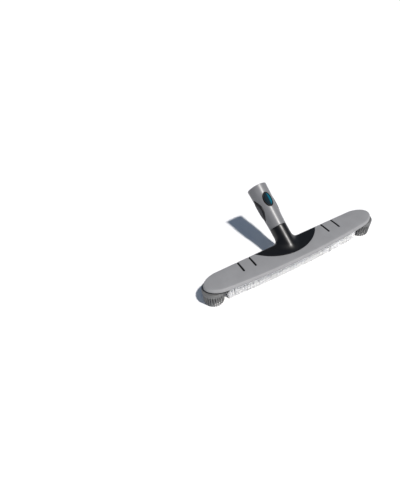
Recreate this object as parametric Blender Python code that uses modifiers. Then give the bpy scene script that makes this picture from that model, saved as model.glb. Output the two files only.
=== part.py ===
"""Pool wall brush with a pole socket that leans back from its head.

Metres, +Z up. The brush stands on its bristle tips at z = 0, its length runs along X, and the pole
socket leans back towards +Y. The origin is the centre of the bristles' working face.
"""
import math

import bmesh
import bpy
from mathutils import Matrix, Vector

# ---------------------------------------------------------------- driving dimensions
GAP = 0.0003                    # clearance between two pieces that seat on each other

# Brush head, seen from above: a slightly bowed bar with half-elliptical ends
COVER_LENGTH = 0.406
COVER_WIDTH = 0.059             # across the middle
END_RUN = 0.0377                # length of each rounded end along X
FRONT_BOW = 0.0085              # how far the front edge has drawn back where the rounded ends start
BACK_BOW = 0.0007               # the same for the back edge

# Heights
BRISTLE_TRIM = 0.037            # from the tips to the block's underside
BLOCK_THICKNESS = 0.0065
COVER_DROP = 0.002              # the cover's lower edge above the block's underside
COVER_HEIGHT = 0.0083           # lower edge to crown
COVER_CROWN = 0.0005            # rise of the crown above the shoulder
COVER_EDGE_RADIUS = 0.0045
CROWN_START = 2.5               # where the crown's slope starts and ends, in edge radii from the edge
CROWN_END = 4.4
CROWN_START_RISE = 0.3          # share of the crown's rise already reached at its start
COVER_WALL = 0.0025
BLOCK_INSET = 0.0045            # block's side face inside the cover's outline

# Slots in the cover, filled by ribs of the block
SLOT_WIDTH = 0.004
SLOT_X = (0.090, 0.117)         # distance of the inner and outer pair from the middle
SLOT_FRONT_Y = -0.001
SLOT_SKIRT = 0.002              # height of skirt left below each slot
RIB_RECESS = 0.0005             # ribs end this far below the cover's surface
RIB_SIDE_GAP = 0.0003

# Crescent opening and the saddle in it
SADDLE_RADIUS = 0.0944
SADDLE_FRONT_Y = -0.0115

# Neck and handle axis
HANDLE_TILT = math.radians(33.0)    # above the horizontal
JOINT_Y = 0.0547                # where the socket meets the neck
JOINT_RISE = 0.0159             # above the cover's shoulder
NECK_RADIUS = 0.01785
NECK_KEEL_Z = 0.0372            # flat underside of the neck behind the head
NECK_RUN = 0.0620               # length of the neck's tube down into the head, before it is trimmed
FILLET_FRONT = 0.0072           # reach of the fillet over the saddle, in front of and beside the neck
FILLET_SIDE = 0.0150
FILLET_UP = 0.0165              # reach of the fillet along the neck
SPIGOT_RADIUS = 0.0120
SPIGOT_LENGTH = 0.0140
SPIGOT_ROOT = 0.0050            # how far the spigot's foot reaches into the neck

# Pole socket, measured along its own axis from the joint
SOCKET_LENGTH = 0.0960
SOCKET_RIM_RADIUS = 0.0215
SOCKET_BORE_RADIUS = 0.01615    # takes a 31.75 mm pole
WEB_THICKNESS = 0.0040
LOWER_BORE_RADIUS = 0.0135
POLE_STOP = 0.0430              # ledge that the pole's end meets
RIM_CHAMFER = 0.0006

# Rocker levers in the two side windows
ROCKER_CENTRE = 0.0462          # all along the socket's axis, from the joint
ROCKER_LENGTH = 0.0500
ROCKER_HALF_WIDTH = 0.0106
ROCKER_PROUD = 0.0010
ROCKER_INNER_GAP = 0.0003
ROCKER_PIVOT = 0.0450
ROCKER_PIVOT_X = 0.0134
TRUNNION_RADIUS = 0.0010
TRUNNION_INNER = 0.0100
TRUNNION_REACH = 0.0125
TRUNNION_GAP = 0.0003
PEG_ALONG = 0.0630
PEG_RADIUS = 0.0030
PEG_REACH = 0.0030              # into the bore
PEG_TIP = 0.8                   # tip radius, as a share of the peg's radius
PEG_TIP_RUN = 0.3               # length of the tip's taper, as a share of the reach
WINDOW_END_GAP = 0.0014
WINDOW_SIDE_GAP = 0.0005
GRIP_CENTRE = 0.0450
GRIP_LENGTH = 0.0360
GRIP_HALF_WIDTH = 0.0072
GRIP_DEPTH = 0.0010
GRIP_PROUD = 0.0004

# Leaf springs behind the rockers' lower arms
LEAF_WIDTH = 0.0060
LEAF_THICKNESS = 0.0005
LEAF_CONTACT = 0.0350           # where the leaf bears on the rocker, along the axis
LEAF_RISE = 0.0270              # where it turns out towards the window
LEAF_BACK_GAP = 0.0013          # between its upright and the bore
LEAF_BEND = 0.0016              # run of its bend along the web
LEAF_BEND_RISE = 0.0020         # and up the wall
LEAF_BEND_STEP = (0.0004, 0.0006)   # the bend's middle: in from the upright, up from the web
LEAF_CREST = (0.0004, 0.0015)   # rounding each side of the crest that bears on the rocker: in, along
LEAF_TAIL = (0.0020, 0.0040)    # end of the leaf from its crest: in, along

# Oval badge on the socket's upper face
BADGE_CENTRE = 0.0590
BADGE_LENGTH = 0.0330
BADGE_WIDTH = 0.0195
BADGE_DEPTH = 0.0008
BADGE_PROUD = 0.0007
BADGE_RIM = 0.0024
INSERT_DEPTH = 0.0006
INSERT_DOME = 0.0002            # the insert stands this far above its bezel

# Bristles
ROW_COUNT = 5
ROW_SPREAD = 0.50               # outermost row, as a share of the half width
TUFT_PITCH = 0.0068
TUFTS_PER_ROW = 47
TUFT_RADIUS = 0.0023
TUFT_WAIST = 0.0013             # half width of a row at its two ends
TUFT_DEPTH = 0.0048             # how deep the tufts stand in the block

# Corner boots: finger brushes that wrap the two ends
BOOT_RADIUS = 0.0225
BOOT_PROUD = 0.0040             # past the cover's end
BOOT_BAND = 0.0088
BOOT_WEB = 0.0030               # plate inside the band
BOOT_WALL = 0.0030
PAD_THICKNESS = 0.0031          # end pad of the block, above the boot
PAD_DROP = 0.0014               # how far the pad reaches below the block's underside
PAD_INSET = 0.0008
FINGER_RINGS = ((0.0208, 28), (0.0140, 16), (0.0074, 7))     # radius, number of fingers
FINGER_WIDTH = 0.0026
FINGER_DEPTH = 0.0030
FINGER_TAPER = 0.72
FINGER_LEAN = 0.06              # share of the radius that the tips close in by

# Screws
SCREW_RADIUS = 0.0012
SCREW_HEAD_RADIUS = 0.0026
SCREW_HEAD_HEIGHT = 0.0019
SCREW_SEAT_DEPTH = 0.0024
SCREW_GAP = 0.0003
SCREW_POINT = 2.0               # length of the point, in shank radii
SCREW_HEAD_EDGE = 0.5           # height of the head's straight edge, as a share of its height
SCREW_HEAD_FLAT = 0.6           # radius of the head's flat top, as a share of its radius
SCREW_BITE = 0.5                # how far its tip reaches into the cover's wall, as a share of it
BOSS_RADIUS = 0.0026
BOSS_DROP = 0.0024              # how far a cover boss reaches into the block
SCREW_EDGE_SPREAD = 0.716       # screw line, as a share of the half width
COVER_SCREWS = ((-0.125, -1), (0.0, -1), (0.125, -1), (-0.100, 1), (0.100, 1))    # x, front or back
SADDLE_SCREW_X = (-0.058, -0.024, 0.024, 0.058)
BOOT_SCREW_LENGTH = 0.0090
SOCKET_SCREW_RADIUS = 0.0019
SOCKET_SCREW_HEAD_RADIUS = 0.0042
SOCKET_SCREW_HEAD_HEIGHT = 0.0030
SOCKET_SCREW_LENGTH = 0.0150
WASHER_RADIUS = 0.0060
WASHER_THICKNESS = 0.0012

# ---------------------------------------------------------------- worked-out heights and places
BLOCK_Z = BRISTLE_TRIM
BLOCK_TOP_Z = BLOCK_Z + BLOCK_THICKNESS
COVER_Z = BLOCK_Z + COVER_DROP
CROWN_Z = COVER_Z + COVER_HEIGHT
SHOULDER_Z = CROWN_Z - COVER_CROWN
HALF_LENGTH = COVER_LENGTH / 2
END_START = HALF_LENGTH - END_RUN
JOINT = Vector((0.0, JOINT_Y, SHOULDER_Z + JOINT_RISE))
AXIS = Vector((0.0, math.cos(HANDLE_TILT), math.sin(HANDLE_TILT)))
HANDLE_TURN = HANDLE_TILT - math.pi / 2
WEB_Z = SPIGOT_LENGTH + GAP
WEB_TOP = WEB_Z + WEB_THICKNESS
SOCKET_SCREW_SEAT = WEB_TOP + 2 * GAP + WASHER_THICKNESS
SOCKET_SCREW_TIP = SOCKET_SCREW_SEAT - SOCKET_SCREW_LENGTH
PAD_Z = BLOCK_Z - PAD_DROP
BOOT_TOP_Z = PAD_Z - GAP
BOOT_X = HALF_LENGTH + BOOT_PROUD - BOOT_RADIUS
FINGER_TOP_Z = BOOT_TOP_Z - BOOT_BAND
SCREW_SEAT_Z = BLOCK_Z + SCREW_SEAT_DEPTH
SCREW_TIP_Z = SHOULDER_Z - COVER_WALL * SCREW_BITE

# ---------------------------------------------------------------- facets of the round shapes
TURN_STEPS = 40
SLEEVE_STEPS = 48
CRESCENT_STEPS = 72
BOOT_STEPS = 36
WASHER_STEPS = 24
PEG_STEPS = 16
SCREW_STEPS = 12
HOLE_STEPS = 12
SMOOTH_ANGLE = math.radians(35)

# Conical sleeves that cut the plates on the socket: their run along it, and how far past its surface
SLEEVE_LOW = 0.010
SLEEVE_HIGH = 0.085
SLEEVE_PAST = 0.006


# ---------------------------------------------------------------- scene helpers
def clear_scene():
    for old in list(bpy.data.objects):
        bpy.data.objects.remove(old, do_unlink=True)


def new_collection(name):
    collection = bpy.data.collections.new(name)
    bpy.context.scene.collection.children.link(collection)
    return collection


def plastic(name, colour, roughness, metallic=0.0):
    """A Principled material of one colour."""
    material = bpy.data.materials.new(name)
    material.use_nodes = True
    shader = material.node_tree.nodes["Principled BSDF"]
    shader.inputs["Base Color"].default_value = (*colour, 1.0)
    shader.inputs["Roughness"].default_value = roughness
    shader.inputs["Metallic"].default_value = metallic
    return material


def link(name, mesh, collection, material=None, parent=None, smooth=True):
    obj = bpy.data.objects.new(name, mesh)
    collection.objects.link(obj)
    if material:
        mesh.materials.append(material)
    if smooth:
        mesh.shade_smooth()
        mesh.set_sharp_from_angle(angle=SMOOTH_ANGLE)
    if parent:
        obj.parent = parent
    return obj


def hide_as_cutter(obj):
    obj.hide_render = True
    obj.display_type = 'WIRE'
    return obj


def boolean(obj, operation, other):
    modifier = obj.modifiers.new(f"{operation.lower()}_{other.name}", 'BOOLEAN')
    modifier.operation = operation
    modifier.object = other
    modifier.solver = 'EXACT'


def mesh_from(build, name):
    """Run a bmesh builder and keep its result as a mesh."""
    bm = bmesh.new()
    build(bm)
    bmesh.ops.recalc_face_normals(bm, faces=bm.faces)
    mesh = bpy.data.meshes.new(name)
    bm.to_mesh(mesh)
    bm.free()
    return mesh


def new_cutter(name, build, cutters, parent=None):
    """A hidden shape that other shapes are cut with or joined to."""
    return hide_as_cutter(link(name, mesh_from(build, name), cutters, parent=parent))


# ---------------------------------------------------------------- shapes
def add_loft(bm, rings, cap_first=True, cap_last=True):
    """Join closed rings of equally many points into one surface."""
    loops = [[bm.verts.new(point) for point in ring] for ring in rings]
    for low, high in zip(loops, loops[1:]):
        for i in range(len(low)):
            j = (i + 1) % len(low)
            bm.faces.new((low[i], low[j], high[j], high[i]))
    if cap_first:
        bm.faces.new(tuple(reversed(loops[0])))
    if cap_last:
        bm.faces.new(loops[-1])


def add_prism(bm, outline, low, high):
    """An outline of (x, y) points between two heights."""
    add_loft(bm, [[(x, y, z) for x, y in outline] for z in (low, high)])


def add_box(bm, low, high):
    size = Vector(high) - Vector(low)
    centre = (Vector(high) + Vector(low)) / 2
    bmesh.ops.create_cube(bm, size=1.0, matrix=Matrix.Translation(centre) @ Matrix.Diagonal((*size, 1.0)))


def add_cylinder(bm, radius, low, high, turn=Matrix.Identity(4), segments=24, tip_radius=None):
    """A cylinder or cone from z = low to z = high, then placed by a matrix."""
    middle = Matrix.Translation((0, 0, (low + high) / 2))
    bmesh.ops.create_cone(bm, cap_ends=True, cap_tris=False, segments=segments, radius1=radius,
                          radius2=radius if tip_radius is None else tip_radius,
                          depth=high - low, matrix=turn @ middle)


def turned(name, profile, collection, material=None, parent=None, steps=TURN_STEPS):
    """A closed profile of (radius, z) points, outer side first and downwards, turned about Z."""
    mesh = bpy.data.meshes.new(name)
    seam = math.pi / steps      # half a step, so that no edge lies on the plane of the ovals' tips
    points = [(r * math.cos(seam), r * math.sin(seam), z) for r, z in profile]
    closed = all(r > 0 for r, _ in profile)
    edges = [(i, i + 1) for i in range(len(points) - 1)]
    if closed:
        edges.append((len(points) - 1, 0))
    mesh.from_pydata(points, edges, [])
    obj = link(name, mesh, collection, material, parent, smooth=False)
    screw = obj.modifiers.new("turn", 'SCREW')
    screw.steps = steps
    screw.render_steps = steps
    screw.use_merge_vertices = True
    screw.merge_threshold = 0.00001
    screw.use_smooth_shade = False
    return obj


def arc(start, end, count):
    return [start + (end - start) * i / count for i in range(count + 1)]


def back_edge(x):
    return COVER_WIDTH / 2 - BACK_BOW * (x / END_START) ** 2


def front_edge(x):
    return -COVER_WIDTH / 2 + FRONT_BOW * (x / END_START) ** 2


def across(x, share):
    """The y at a share of the half width, -1 at the front edge and 1 at the back edge."""
    return (back_edge(x) + front_edge(x)) / 2 + share * (back_edge(x) - front_edge(x)) / 2


def head_outline(inset=0.0, side_steps=10, end_steps=8):
    """The head's outline from above, drawn in by an inset; counter-clockwise."""
    run = END_RUN - inset
    stations = [(x, 1.0) for x in arc(-END_START, END_START, side_steps)[1:-1]]
    ends = [(END_START + run * math.sin(a), math.cos(a)) for a in arc(0, math.pi / 2, end_steps)]
    stations = [(-x, f) for x, f in reversed(ends)] + stations + ends

    def edge_point(x, factor, side):
        middle = (back_edge(x) + front_edge(x)) / 2
        half = (back_edge(x) - front_edge(x)) / 2 - inset
        return (x, middle + side * half * factor)

    front = [edge_point(x, f, -1) for x, f in stations]
    back = [edge_point(x, f, 1) for x, f in stations[1:-1]]
    return front + list(reversed(back))


def head_rings(shrink=0.0, bottom=COVER_Z, corner_steps=3):
    """Rings of the cover's outer surface: skirt, rounded shoulder, low crown."""
    levels = [(0.0, bottom)]
    for a in arc(0, math.pi / 2, corner_steps):
        levels.append((COVER_EDGE_RADIUS * (1 - math.cos(a)),
                       SHOULDER_Z - COVER_EDGE_RADIUS * (1 - math.sin(a)) - COVER_CROWN / 2))
    levels.append((COVER_EDGE_RADIUS * CROWN_START, SHOULDER_Z + COVER_CROWN * CROWN_START_RISE))
    levels.append((COVER_EDGE_RADIUS * CROWN_END, CROWN_Z))
    rings = []
    for inset, z in levels:
        height = z - shrink if z > bottom else bottom
        rings.append([(x, y, height) for x, y in head_outline(inset + shrink)])
    return rings


def socket_radius(along):
    """Outer radius of the pole socket at a distance from the joint."""
    return NECK_RADIUS + (SOCKET_RIM_RADIUS - NECK_RADIUS) * along / SOCKET_LENGTH


def pointed_oval(centre, length, half_width, steps=12):
    """A pointed oval of (across, along) points with parabolic sides."""
    run = [centre - length / 2 + length * i / (2 * steps) for i in range(2 * steps + 1)]
    side = [half_width * (1 - ((z - centre) / (length / 2)) ** 2) for z in run]
    right = list(zip(side, run))
    left = [(-y, z) for y, z in reversed(right[1:-1])]
    return right + left


def ellipse(centre, length, width, steps=36):
    return [(width / 2 * math.cos(a), centre + length / 2 * math.sin(a))
            for a in arc(0, 2 * math.pi, steps)[:-1]]


def add_side_prism(bm, outline, near, far):
    """An outline of (y, z) points between two x values."""
    add_loft(bm, [[(x, y, z) for y, z in outline] for x in (near, far)])


def add_front_prism(bm, outline, near, far):
    """An outline of (x, z) points between two y values."""
    add_loft(bm, [[(x, y, z) for x, z in outline] for y in (near, far)])


def sleeve(name, inner, outer, cutters, parent):
    """A conical sleeve between two offsets from the socket's outer surface, to cut curved plates from."""
    low, high = SLEEVE_LOW, SLEEVE_HIGH
    profile = [(socket_radius(high) + outer, high), (socket_radius(low) + outer, low),
               (socket_radius(low) + inner, low), (socket_radius(high) + inner, high)]
    return hide_as_cutter(turned(name, profile, cutters, parent=parent, steps=SLEEVE_STEPS))


def head_screw(name, radius, head_radius, head_height, length, collection, material, parent=None):
    """A pan-head screw with its head's seat at z = 0, pointing up along +Z."""
    profile = [(0.0, length), (radius, length - radius * SCREW_POINT), (radius, 0.0), (head_radius, 0.0),
               (head_radius, -head_height * SCREW_HEAD_EDGE), (head_radius * SCREW_HEAD_FLAT, -head_height),
               (0.0, -head_height)]
    return turned(name, profile, collection, material, parent, steps=SCREW_STEPS)


# ---------------------------------------------------------------- brush head
def cover_screw_places():
    return [(x, across(x, side * SCREW_EDGE_SPREAD)) for x, side in COVER_SCREWS]


def saddle_screw_places():
    return [(x, across(x, SCREW_EDGE_SPREAD)) for x in SADDLE_SCREW_X]


def saddle_centre_y():
    return SADDLE_FRONT_Y + SADDLE_RADIUS


def slot_places():
    return sorted(side * x for x in SLOT_X for side in (-1, 1))


def make_cover(parts, cutters, material):
    mesh = mesh_from(lambda bm: add_loft(bm, head_rings(), cap_first=False), "top_cover")
    cover = link("top_cover", mesh, parts, material)
    shell = cover.modifiers.new("wall", 'SOLIDIFY')
    shell.thickness = COVER_WALL
    shell.offset = -1
    shell.use_even_offset = True

    def bosses(bm):
        for x, y in cover_screw_places():
            add_cylinder(bm, BOSS_RADIUS, BLOCK_TOP_Z - BOSS_DROP, SHOULDER_Z - COVER_WALL / 2,
                         Matrix.Translation((x, y, 0)), segments=HOLE_STEPS)

    def openings(bm):
        add_cylinder(bm, SADDLE_RADIUS, BLOCK_Z, CROWN_Z + COVER_HEIGHT,
                     Matrix.Translation((0, saddle_centre_y(), 0)), segments=CRESCENT_STEPS)
        for x in slot_places():
            add_box(bm, (x - SLOT_WIDTH / 2, SLOT_FRONT_Y, COVER_Z + SLOT_SKIRT),
                    (x + SLOT_WIDTH / 2, COVER_WIDTH, CROWN_Z + COVER_HEIGHT))

    def pilots(bm):
        for x, y in cover_screw_places():
            add_cylinder(bm, SCREW_RADIUS + SCREW_GAP, BLOCK_Z, SCREW_TIP_Z + SCREW_GAP,
                         Matrix.Translation((x, y, 0)), segments=HOLE_STEPS)

    boolean(cover, 'UNION', new_cutter("cover_bosses", bosses, cutters))
    boolean(cover, 'DIFFERENCE', new_cutter("cover_openings", openings, cutters))
    boolean(cover, 'DIFFERENCE', new_cutter("cover_pilots", pilots, cutters))


def row_shares():
    return [ROW_SPREAD * (2 * i / (ROW_COUNT - 1) - 1) for i in range(ROW_COUNT)]


def row_outline(share, extra=0.0, steps=8):
    """A bristle row from above: one strip as wide as its tufts, which follows the head's bow."""
    half_run = TUFT_PITCH * (TUFTS_PER_ROW - 1) / 2
    tip = half_run + TUFT_RADIUS + extra
    stations = [(-tip, TUFT_WAIST)] + [(x, TUFT_RADIUS) for x in arc(-half_run, half_run, steps)]
    stations.append((tip, TUFT_WAIST))
    front = [(x, across(x, share) - half - extra) for x, half in stations]
    back = [(x, across(x, share) + half + extra) for x, half in stations]
    return front + list(reversed(back))


def make_rows(parts, material):
    for number, share in enumerate(row_shares(), start=1):
        name = f"bristle_row_{number}"
        outline = row_outline(share)
        mesh = mesh_from(lambda bm: add_prism(bm, outline, 0.0, BLOCK_Z + TUFT_DEPTH - GAP), name)
        link(name, mesh, parts, material, smooth=False)


def make_block(parts, cutters, material):
    mesh = mesh_from(lambda bm: add_prism(bm, head_outline(BLOCK_INSET), BLOCK_Z, BLOCK_TOP_Z), "brush_block")
    block = link("brush_block", mesh, parts, material)

    def ribs(bm):
        for x in slot_places():
            half = SLOT_WIDTH / 2 - RIB_SIDE_GAP
            add_box(bm, (x - half, SLOT_FRONT_Y + RIB_SIDE_GAP, COVER_Z + SLOT_SKIRT + GAP),
                    (x + half, COVER_WIDTH, CROWN_Z + COVER_HEIGHT))

    def skin(bm):
        add_loft(bm, head_rings(RIB_RECESS, bottom=BLOCK_Z))

    rib_fill = new_cutter("rib_fill", ribs, cutters)
    boolean(rib_fill, 'INTERSECT', new_cutter("rib_skin", skin, cutters))

    def pads(bm):
        add_prism(bm, head_outline(PAD_INSET), PAD_Z, PAD_Z + PAD_THICKNESS)

    def pad_ends(bm):
        reach = BOOT_X - BOOT_RADIUS
        for side in (-1, 1):
            low, high = sorted((side * reach, side * (HALF_LENGTH + END_RUN)))
            add_box(bm, (low, -COVER_WIDTH, 0.0), (high, COVER_WIDTH, CROWN_Z))

    pad_fill = new_cutter("pad_fill", pads, cutters)
    boolean(pad_fill, 'INTERSECT', new_cutter("pad_keep", pad_ends, cutters))

    def channels(bm):
        for share in row_shares():
            add_prism(bm, row_outline(share, GAP), 0.0, BLOCK_Z + TUFT_DEPTH)

    def add_hole(bm, radius, low, high, x, y):
        add_cylinder(bm, radius + SCREW_GAP, low, high, Matrix.Translation((x, y, 0)), segments=HOLE_STEPS)

    def drillings(bm):
        for x, y in cover_screw_places() + saddle_screw_places():
            add_hole(bm, SCREW_RADIUS, 0.0, CROWN_Z + COVER_HEIGHT, x, y)
        for side in (-1, 1):
            add_hole(bm, SCREW_RADIUS, 0.0, boot_screw_tip() + GAP, side * BOOT_X, boot_y())

    def seats(bm):
        for x, y in cover_screw_places() + saddle_screw_places():
            add_hole(bm, SCREW_HEAD_RADIUS, 0.0, SCREW_SEAT_Z, x, y)
        for x, y in cover_screw_places():
            add_hole(bm, BOSS_RADIUS, BLOCK_TOP_Z - BOSS_DROP - GAP, CROWN_Z, x, y)

    boolean(block, 'UNION', rib_fill)
    boolean(block, 'UNION', pad_fill)
    for name, build in (("row_channels", channels), ("screw_holes", drillings), ("screw_seats", seats)):
        boolean(block, 'DIFFERENCE', new_cutter(name, build, cutters))


def make_head_screws(parts, material):
    def place_screw(name, x, y, seat_z, tip_z):
        screw = head_screw(name, SCREW_RADIUS, SCREW_HEAD_RADIUS, SCREW_HEAD_HEIGHT, tip_z - seat_z - GAP,
                           parts, material)
        screw.location = (x, y, seat_z - GAP)

    for number, (x, y) in enumerate(cover_screw_places(), start=1):
        place_screw(f"cover_screw_{number}", x, y, SCREW_SEAT_Z, SCREW_TIP_Z)
    for number, (x, y) in enumerate(saddle_screw_places(), start=1):
        place_screw(f"saddle_screw_{number}", x, y, SCREW_SEAT_Z, SCREW_TIP_Z)
    for side, word in ((-1, "left"), (1, "right")):
        place_screw(f"boot_screw_{word}", side * BOOT_X, boot_y(), BOOT_TOP_Z - BOOT_WEB, boot_screw_tip())


# ---------------------------------------------------------------- corner boots
def boot_y():
    return across(BOOT_X, 0.0)


def boot_screw_tip():
    return BOOT_TOP_Z - BOOT_WEB + BOOT_SCREW_LENGTH


def add_finger(bm, radius, angle):
    """One tapered finger that hangs from the boot and closes in slightly towards its tip."""
    outward = Vector((math.cos(angle), math.sin(angle), 0))
    sideways = Vector((-math.sin(angle), math.cos(angle), 0))
    rings = []
    for z, scale, reach in ((0.0, FINGER_TAPER, 1 - FINGER_LEAN), (BOOT_TOP_Z - BOOT_WEB / 2, 1.0, 1.0)):
        centre = outward * radius * reach + Vector((0, 0, z))
        half_w = sideways * FINGER_WIDTH / 2 * scale
        half_d = outward * FINGER_DEPTH / 2 * scale
        rings.append([centre - half_w - half_d, centre + half_w - half_d,
                      centre + half_w + half_d, centre - half_w + half_d])
    add_loft(bm, rings)


def make_boot(parts, cutters, material, side, word):
    name = f"corner_boot_{word}"

    def body(bm):
        add_cylinder(bm, BOOT_RADIUS, FINGER_TOP_Z, BOOT_TOP_Z, segments=BOOT_STEPS)

    def hollow(bm):
        add_cylinder(bm, BOOT_RADIUS - BOOT_WALL, 0.0, BOOT_TOP_Z - BOOT_WEB, segments=BOOT_STEPS)

    def screw_hole(bm):
        add_cylinder(bm, SCREW_RADIUS + SCREW_GAP, 0.0, CROWN_Z, segments=HOLE_STEPS)

    def fingers(bm):
        for radius, count in FINGER_RINGS:
            for i in range(count):
                add_finger(bm, radius, 2 * math.pi * i / count)

    boot = link(name, mesh_from(body, name), parts, material)
    place = (side * BOOT_X, boot_y(), 0)
    boot.location = place
    for label, build, operation in (("hollow", hollow, 'DIFFERENCE'), ("fingers", fingers, 'UNION'),
                                    ("screw_hole", screw_hole, 'DIFFERENCE')):
        tool = new_cutter(f"{name}_{label}", build, cutters)
        tool.location = place
        boolean(boot, operation, tool)


# ---------------------------------------------------------------- saddle and neck
def fillet_rings(steps=5, around=40):
    """Rings of the fillet between the saddle's face and the leaning neck, from the outside in."""
    low = SHOULDER_Z - COVER_CROWN
    foot_y = JOINT.y - (JOINT.z - low) / math.tan(HANDLE_TILT)
    starts = []
    corners = []
    ends = []
    for phi in arc(0, 2 * math.pi, around)[:-1]:
        forward = NECK_RADIUS / math.sin(HANDLE_TILT) * math.sin(phi)
        corner = Vector((NECK_RADIUS * math.cos(phi), foot_y - forward, low))
        outward = Vector((math.cos(phi), -math.sin(phi) * math.sin(HANDLE_TILT), 0)).normalized()
        reach = FILLET_SIDE + (FILLET_FRONT - FILLET_SIDE) * abs(math.sin(phi))
        starts.append(corner + outward * reach)
        corners.append(corner)
        ends.append(corner + AXIS * FILLET_UP - outward * GAP)
    rings = [[p - Vector((0, 0, SHOULDER_Z - BLOCK_TOP_Z - 2 * GAP)) for p in starts]]
    for t in arc(0, 1, steps):
        rings.append([(1 - t) ** 2 * a + 2 * t * (1 - t) * b + t * t * c
                      for a, b, c in zip(starts, corners, ends)])
    return [list(reversed(ring)) for ring in rings]


def make_saddle(parts, cutters, material):
    """Crescent saddle, fillet, neck and spigot, moulded in one."""
    handle = Matrix.Translation(JOINT) @ Matrix.Rotation(HANDLE_TURN, 4, 'X')
    clear_of_block = BLOCK_TOP_Z + GAP
    name = "saddle_neck"

    def crescent(bm):
        add_loft(bm, head_rings())

    def crescent_keep(bm):
        add_cylinder(bm, SADDLE_RADIUS - GAP, BLOCK_Z, CROWN_Z + COVER_HEIGHT,
                     Matrix.Translation((0, saddle_centre_y(), 0)), segments=CRESCENT_STEPS)

    def block_room(bm):
        add_prism(bm, head_outline(BLOCK_INSET - GAP), 0.0, clear_of_block)

    def fillet(bm):
        add_loft(bm, fillet_rings())

    def behind_head(bm):
        add_box(bm, (-COVER_WIDTH, COVER_WIDTH / 2 - GAP, 0.0), (COVER_WIDTH, 2 * COVER_WIDTH, 2 * JOINT.z))

    def crescent_wall(bm):
        place = Matrix.Translation((0, saddle_centre_y(), 0))
        add_cylinder(bm, SADDLE_RADIUS - GAP, 0.0, 2 * JOINT.z, place, segments=CRESCENT_STEPS)

    def neck(bm):
        add_cylinder(bm, NECK_RADIUS, -NECK_RUN, 0.0, handle, segments=TURN_STEPS)

    def spigot(bm):
        add_cylinder(bm, SPIGOT_RADIUS, -SPIGOT_ROOT, SPIGOT_LENGTH, handle, segments=SLEEVE_STEPS // 2)

    def below_keel(bm):
        add_box(bm, (-COVER_WIDTH, -COVER_WIDTH, -BLOCK_Z), (COVER_WIDTH, 2 * COVER_WIDTH, NECK_KEEL_Z))

    def screw_bores(bm):
        add_cylinder(bm, SOCKET_SCREW_RADIUS + SCREW_GAP, SOCKET_SCREW_TIP - SPIGOT_ROOT, SPIGOT_LENGTH * 2,
                     handle, segments=HOLE_STEPS)
        for x, y in saddle_screw_places():
            add_cylinder(bm, SCREW_RADIUS + SCREW_GAP, 0.0, SCREW_TIP_Z + SCREW_GAP,
                         Matrix.Translation((x, y, 0)), segments=HOLE_STEPS)

    saddle = link(name, mesh_from(crescent, name), parts, material)
    boolean(saddle, 'INTERSECT', new_cutter("crescent_keep", crescent_keep, cutters))
    wall = new_cutter("crescent_wall", crescent_wall, cutters)
    fillet_tool = new_cutter("neck_fillet", fillet, cutters)
    boolean(fillet_tool, 'DIFFERENCE', new_cutter("behind_head", behind_head, cutters))
    boolean(fillet_tool, 'INTERSECT', wall)
    boolean(saddle, 'UNION', fillet_tool)
    neck_tool = new_cutter("neck_tube", neck, cutters)
    boolean(neck_tool, 'DIFFERENCE', new_cutter("below_keel", below_keel, cutters))
    boolean(neck_tool, 'INTERSECT', wall)
    boolean(saddle, 'UNION', neck_tool)
    boolean(saddle, 'UNION', new_cutter("neck_spigot", spigot, cutters))
    boolean(saddle, 'DIFFERENCE', new_cutter("saddle_block_room", block_room, cutters))
    boolean(saddle, 'DIFFERENCE', new_cutter("saddle_bores", screw_bores, cutters))


# ---------------------------------------------------------------- pole socket
def make_socket(parts, cutters, material, handle):
    chamfer = RIM_CHAMFER
    profile = [
        (SOCKET_RIM_RADIUS - chamfer, SOCKET_LENGTH), (SOCKET_RIM_RADIUS, SOCKET_LENGTH - chamfer),
        (NECK_RADIUS, GAP), (SPIGOT_RADIUS + GAP, GAP), (SPIGOT_RADIUS + GAP, WEB_Z),
        (SOCKET_SCREW_RADIUS + SCREW_GAP, WEB_Z), (SOCKET_SCREW_RADIUS + SCREW_GAP, WEB_TOP),
        (LOWER_BORE_RADIUS, WEB_TOP), (LOWER_BORE_RADIUS, POLE_STOP), (SOCKET_BORE_RADIUS, POLE_STOP),
        (SOCKET_BORE_RADIUS, SOCKET_LENGTH - chamfer), (SOCKET_BORE_RADIUS + chamfer, SOCKET_LENGTH),
    ]
    socket = turned("pole_socket", profile, parts, material, handle)

    def windows(bm):
        outline = pointed_oval(ROCKER_CENTRE, ROCKER_LENGTH + 2 * WINDOW_END_GAP,
                               ROCKER_HALF_WIDTH + WINDOW_SIDE_GAP)
        add_side_prism(bm, outline, -2 * SOCKET_RIM_RADIUS, 2 * SOCKET_RIM_RADIUS)

    def trunnion_holes(bm):
        for side in (-1, 1):
            place = Matrix.Translation((side * ROCKER_PIVOT_X, 0, ROCKER_PIVOT)) @ Matrix.Rotation(
                math.pi / 2, 4, 'X')
            add_cylinder(bm, TRUNNION_RADIUS + TRUNNION_GAP, -TRUNNION_REACH - GAP, TRUNNION_REACH + GAP,
                         place, segments=HOLE_STEPS)

    def badge_room(bm):
        outline = ellipse(BADGE_CENTRE, BADGE_LENGTH + 2 * GAP, BADGE_WIDTH + 2 * GAP)
        add_front_prism(bm, outline, -2 * SOCKET_RIM_RADIUS, 0.0)

    recess = new_cutter("badge_recess", badge_room, cutters, handle)
    recess_sleeve = sleeve("badge_recess_sleeve", -BADGE_DEPTH - GAP, SLEEVE_PAST, cutters, handle)
    boolean(recess, 'INTERSECT', recess_sleeve)
    boolean(socket, 'DIFFERENCE', new_cutter("side_windows", windows, cutters, handle))
    boolean(socket, 'DIFFERENCE', new_cutter("trunnion_holes", trunnion_holes, cutters, handle))
    boolean(socket, 'DIFFERENCE', recess)


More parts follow.
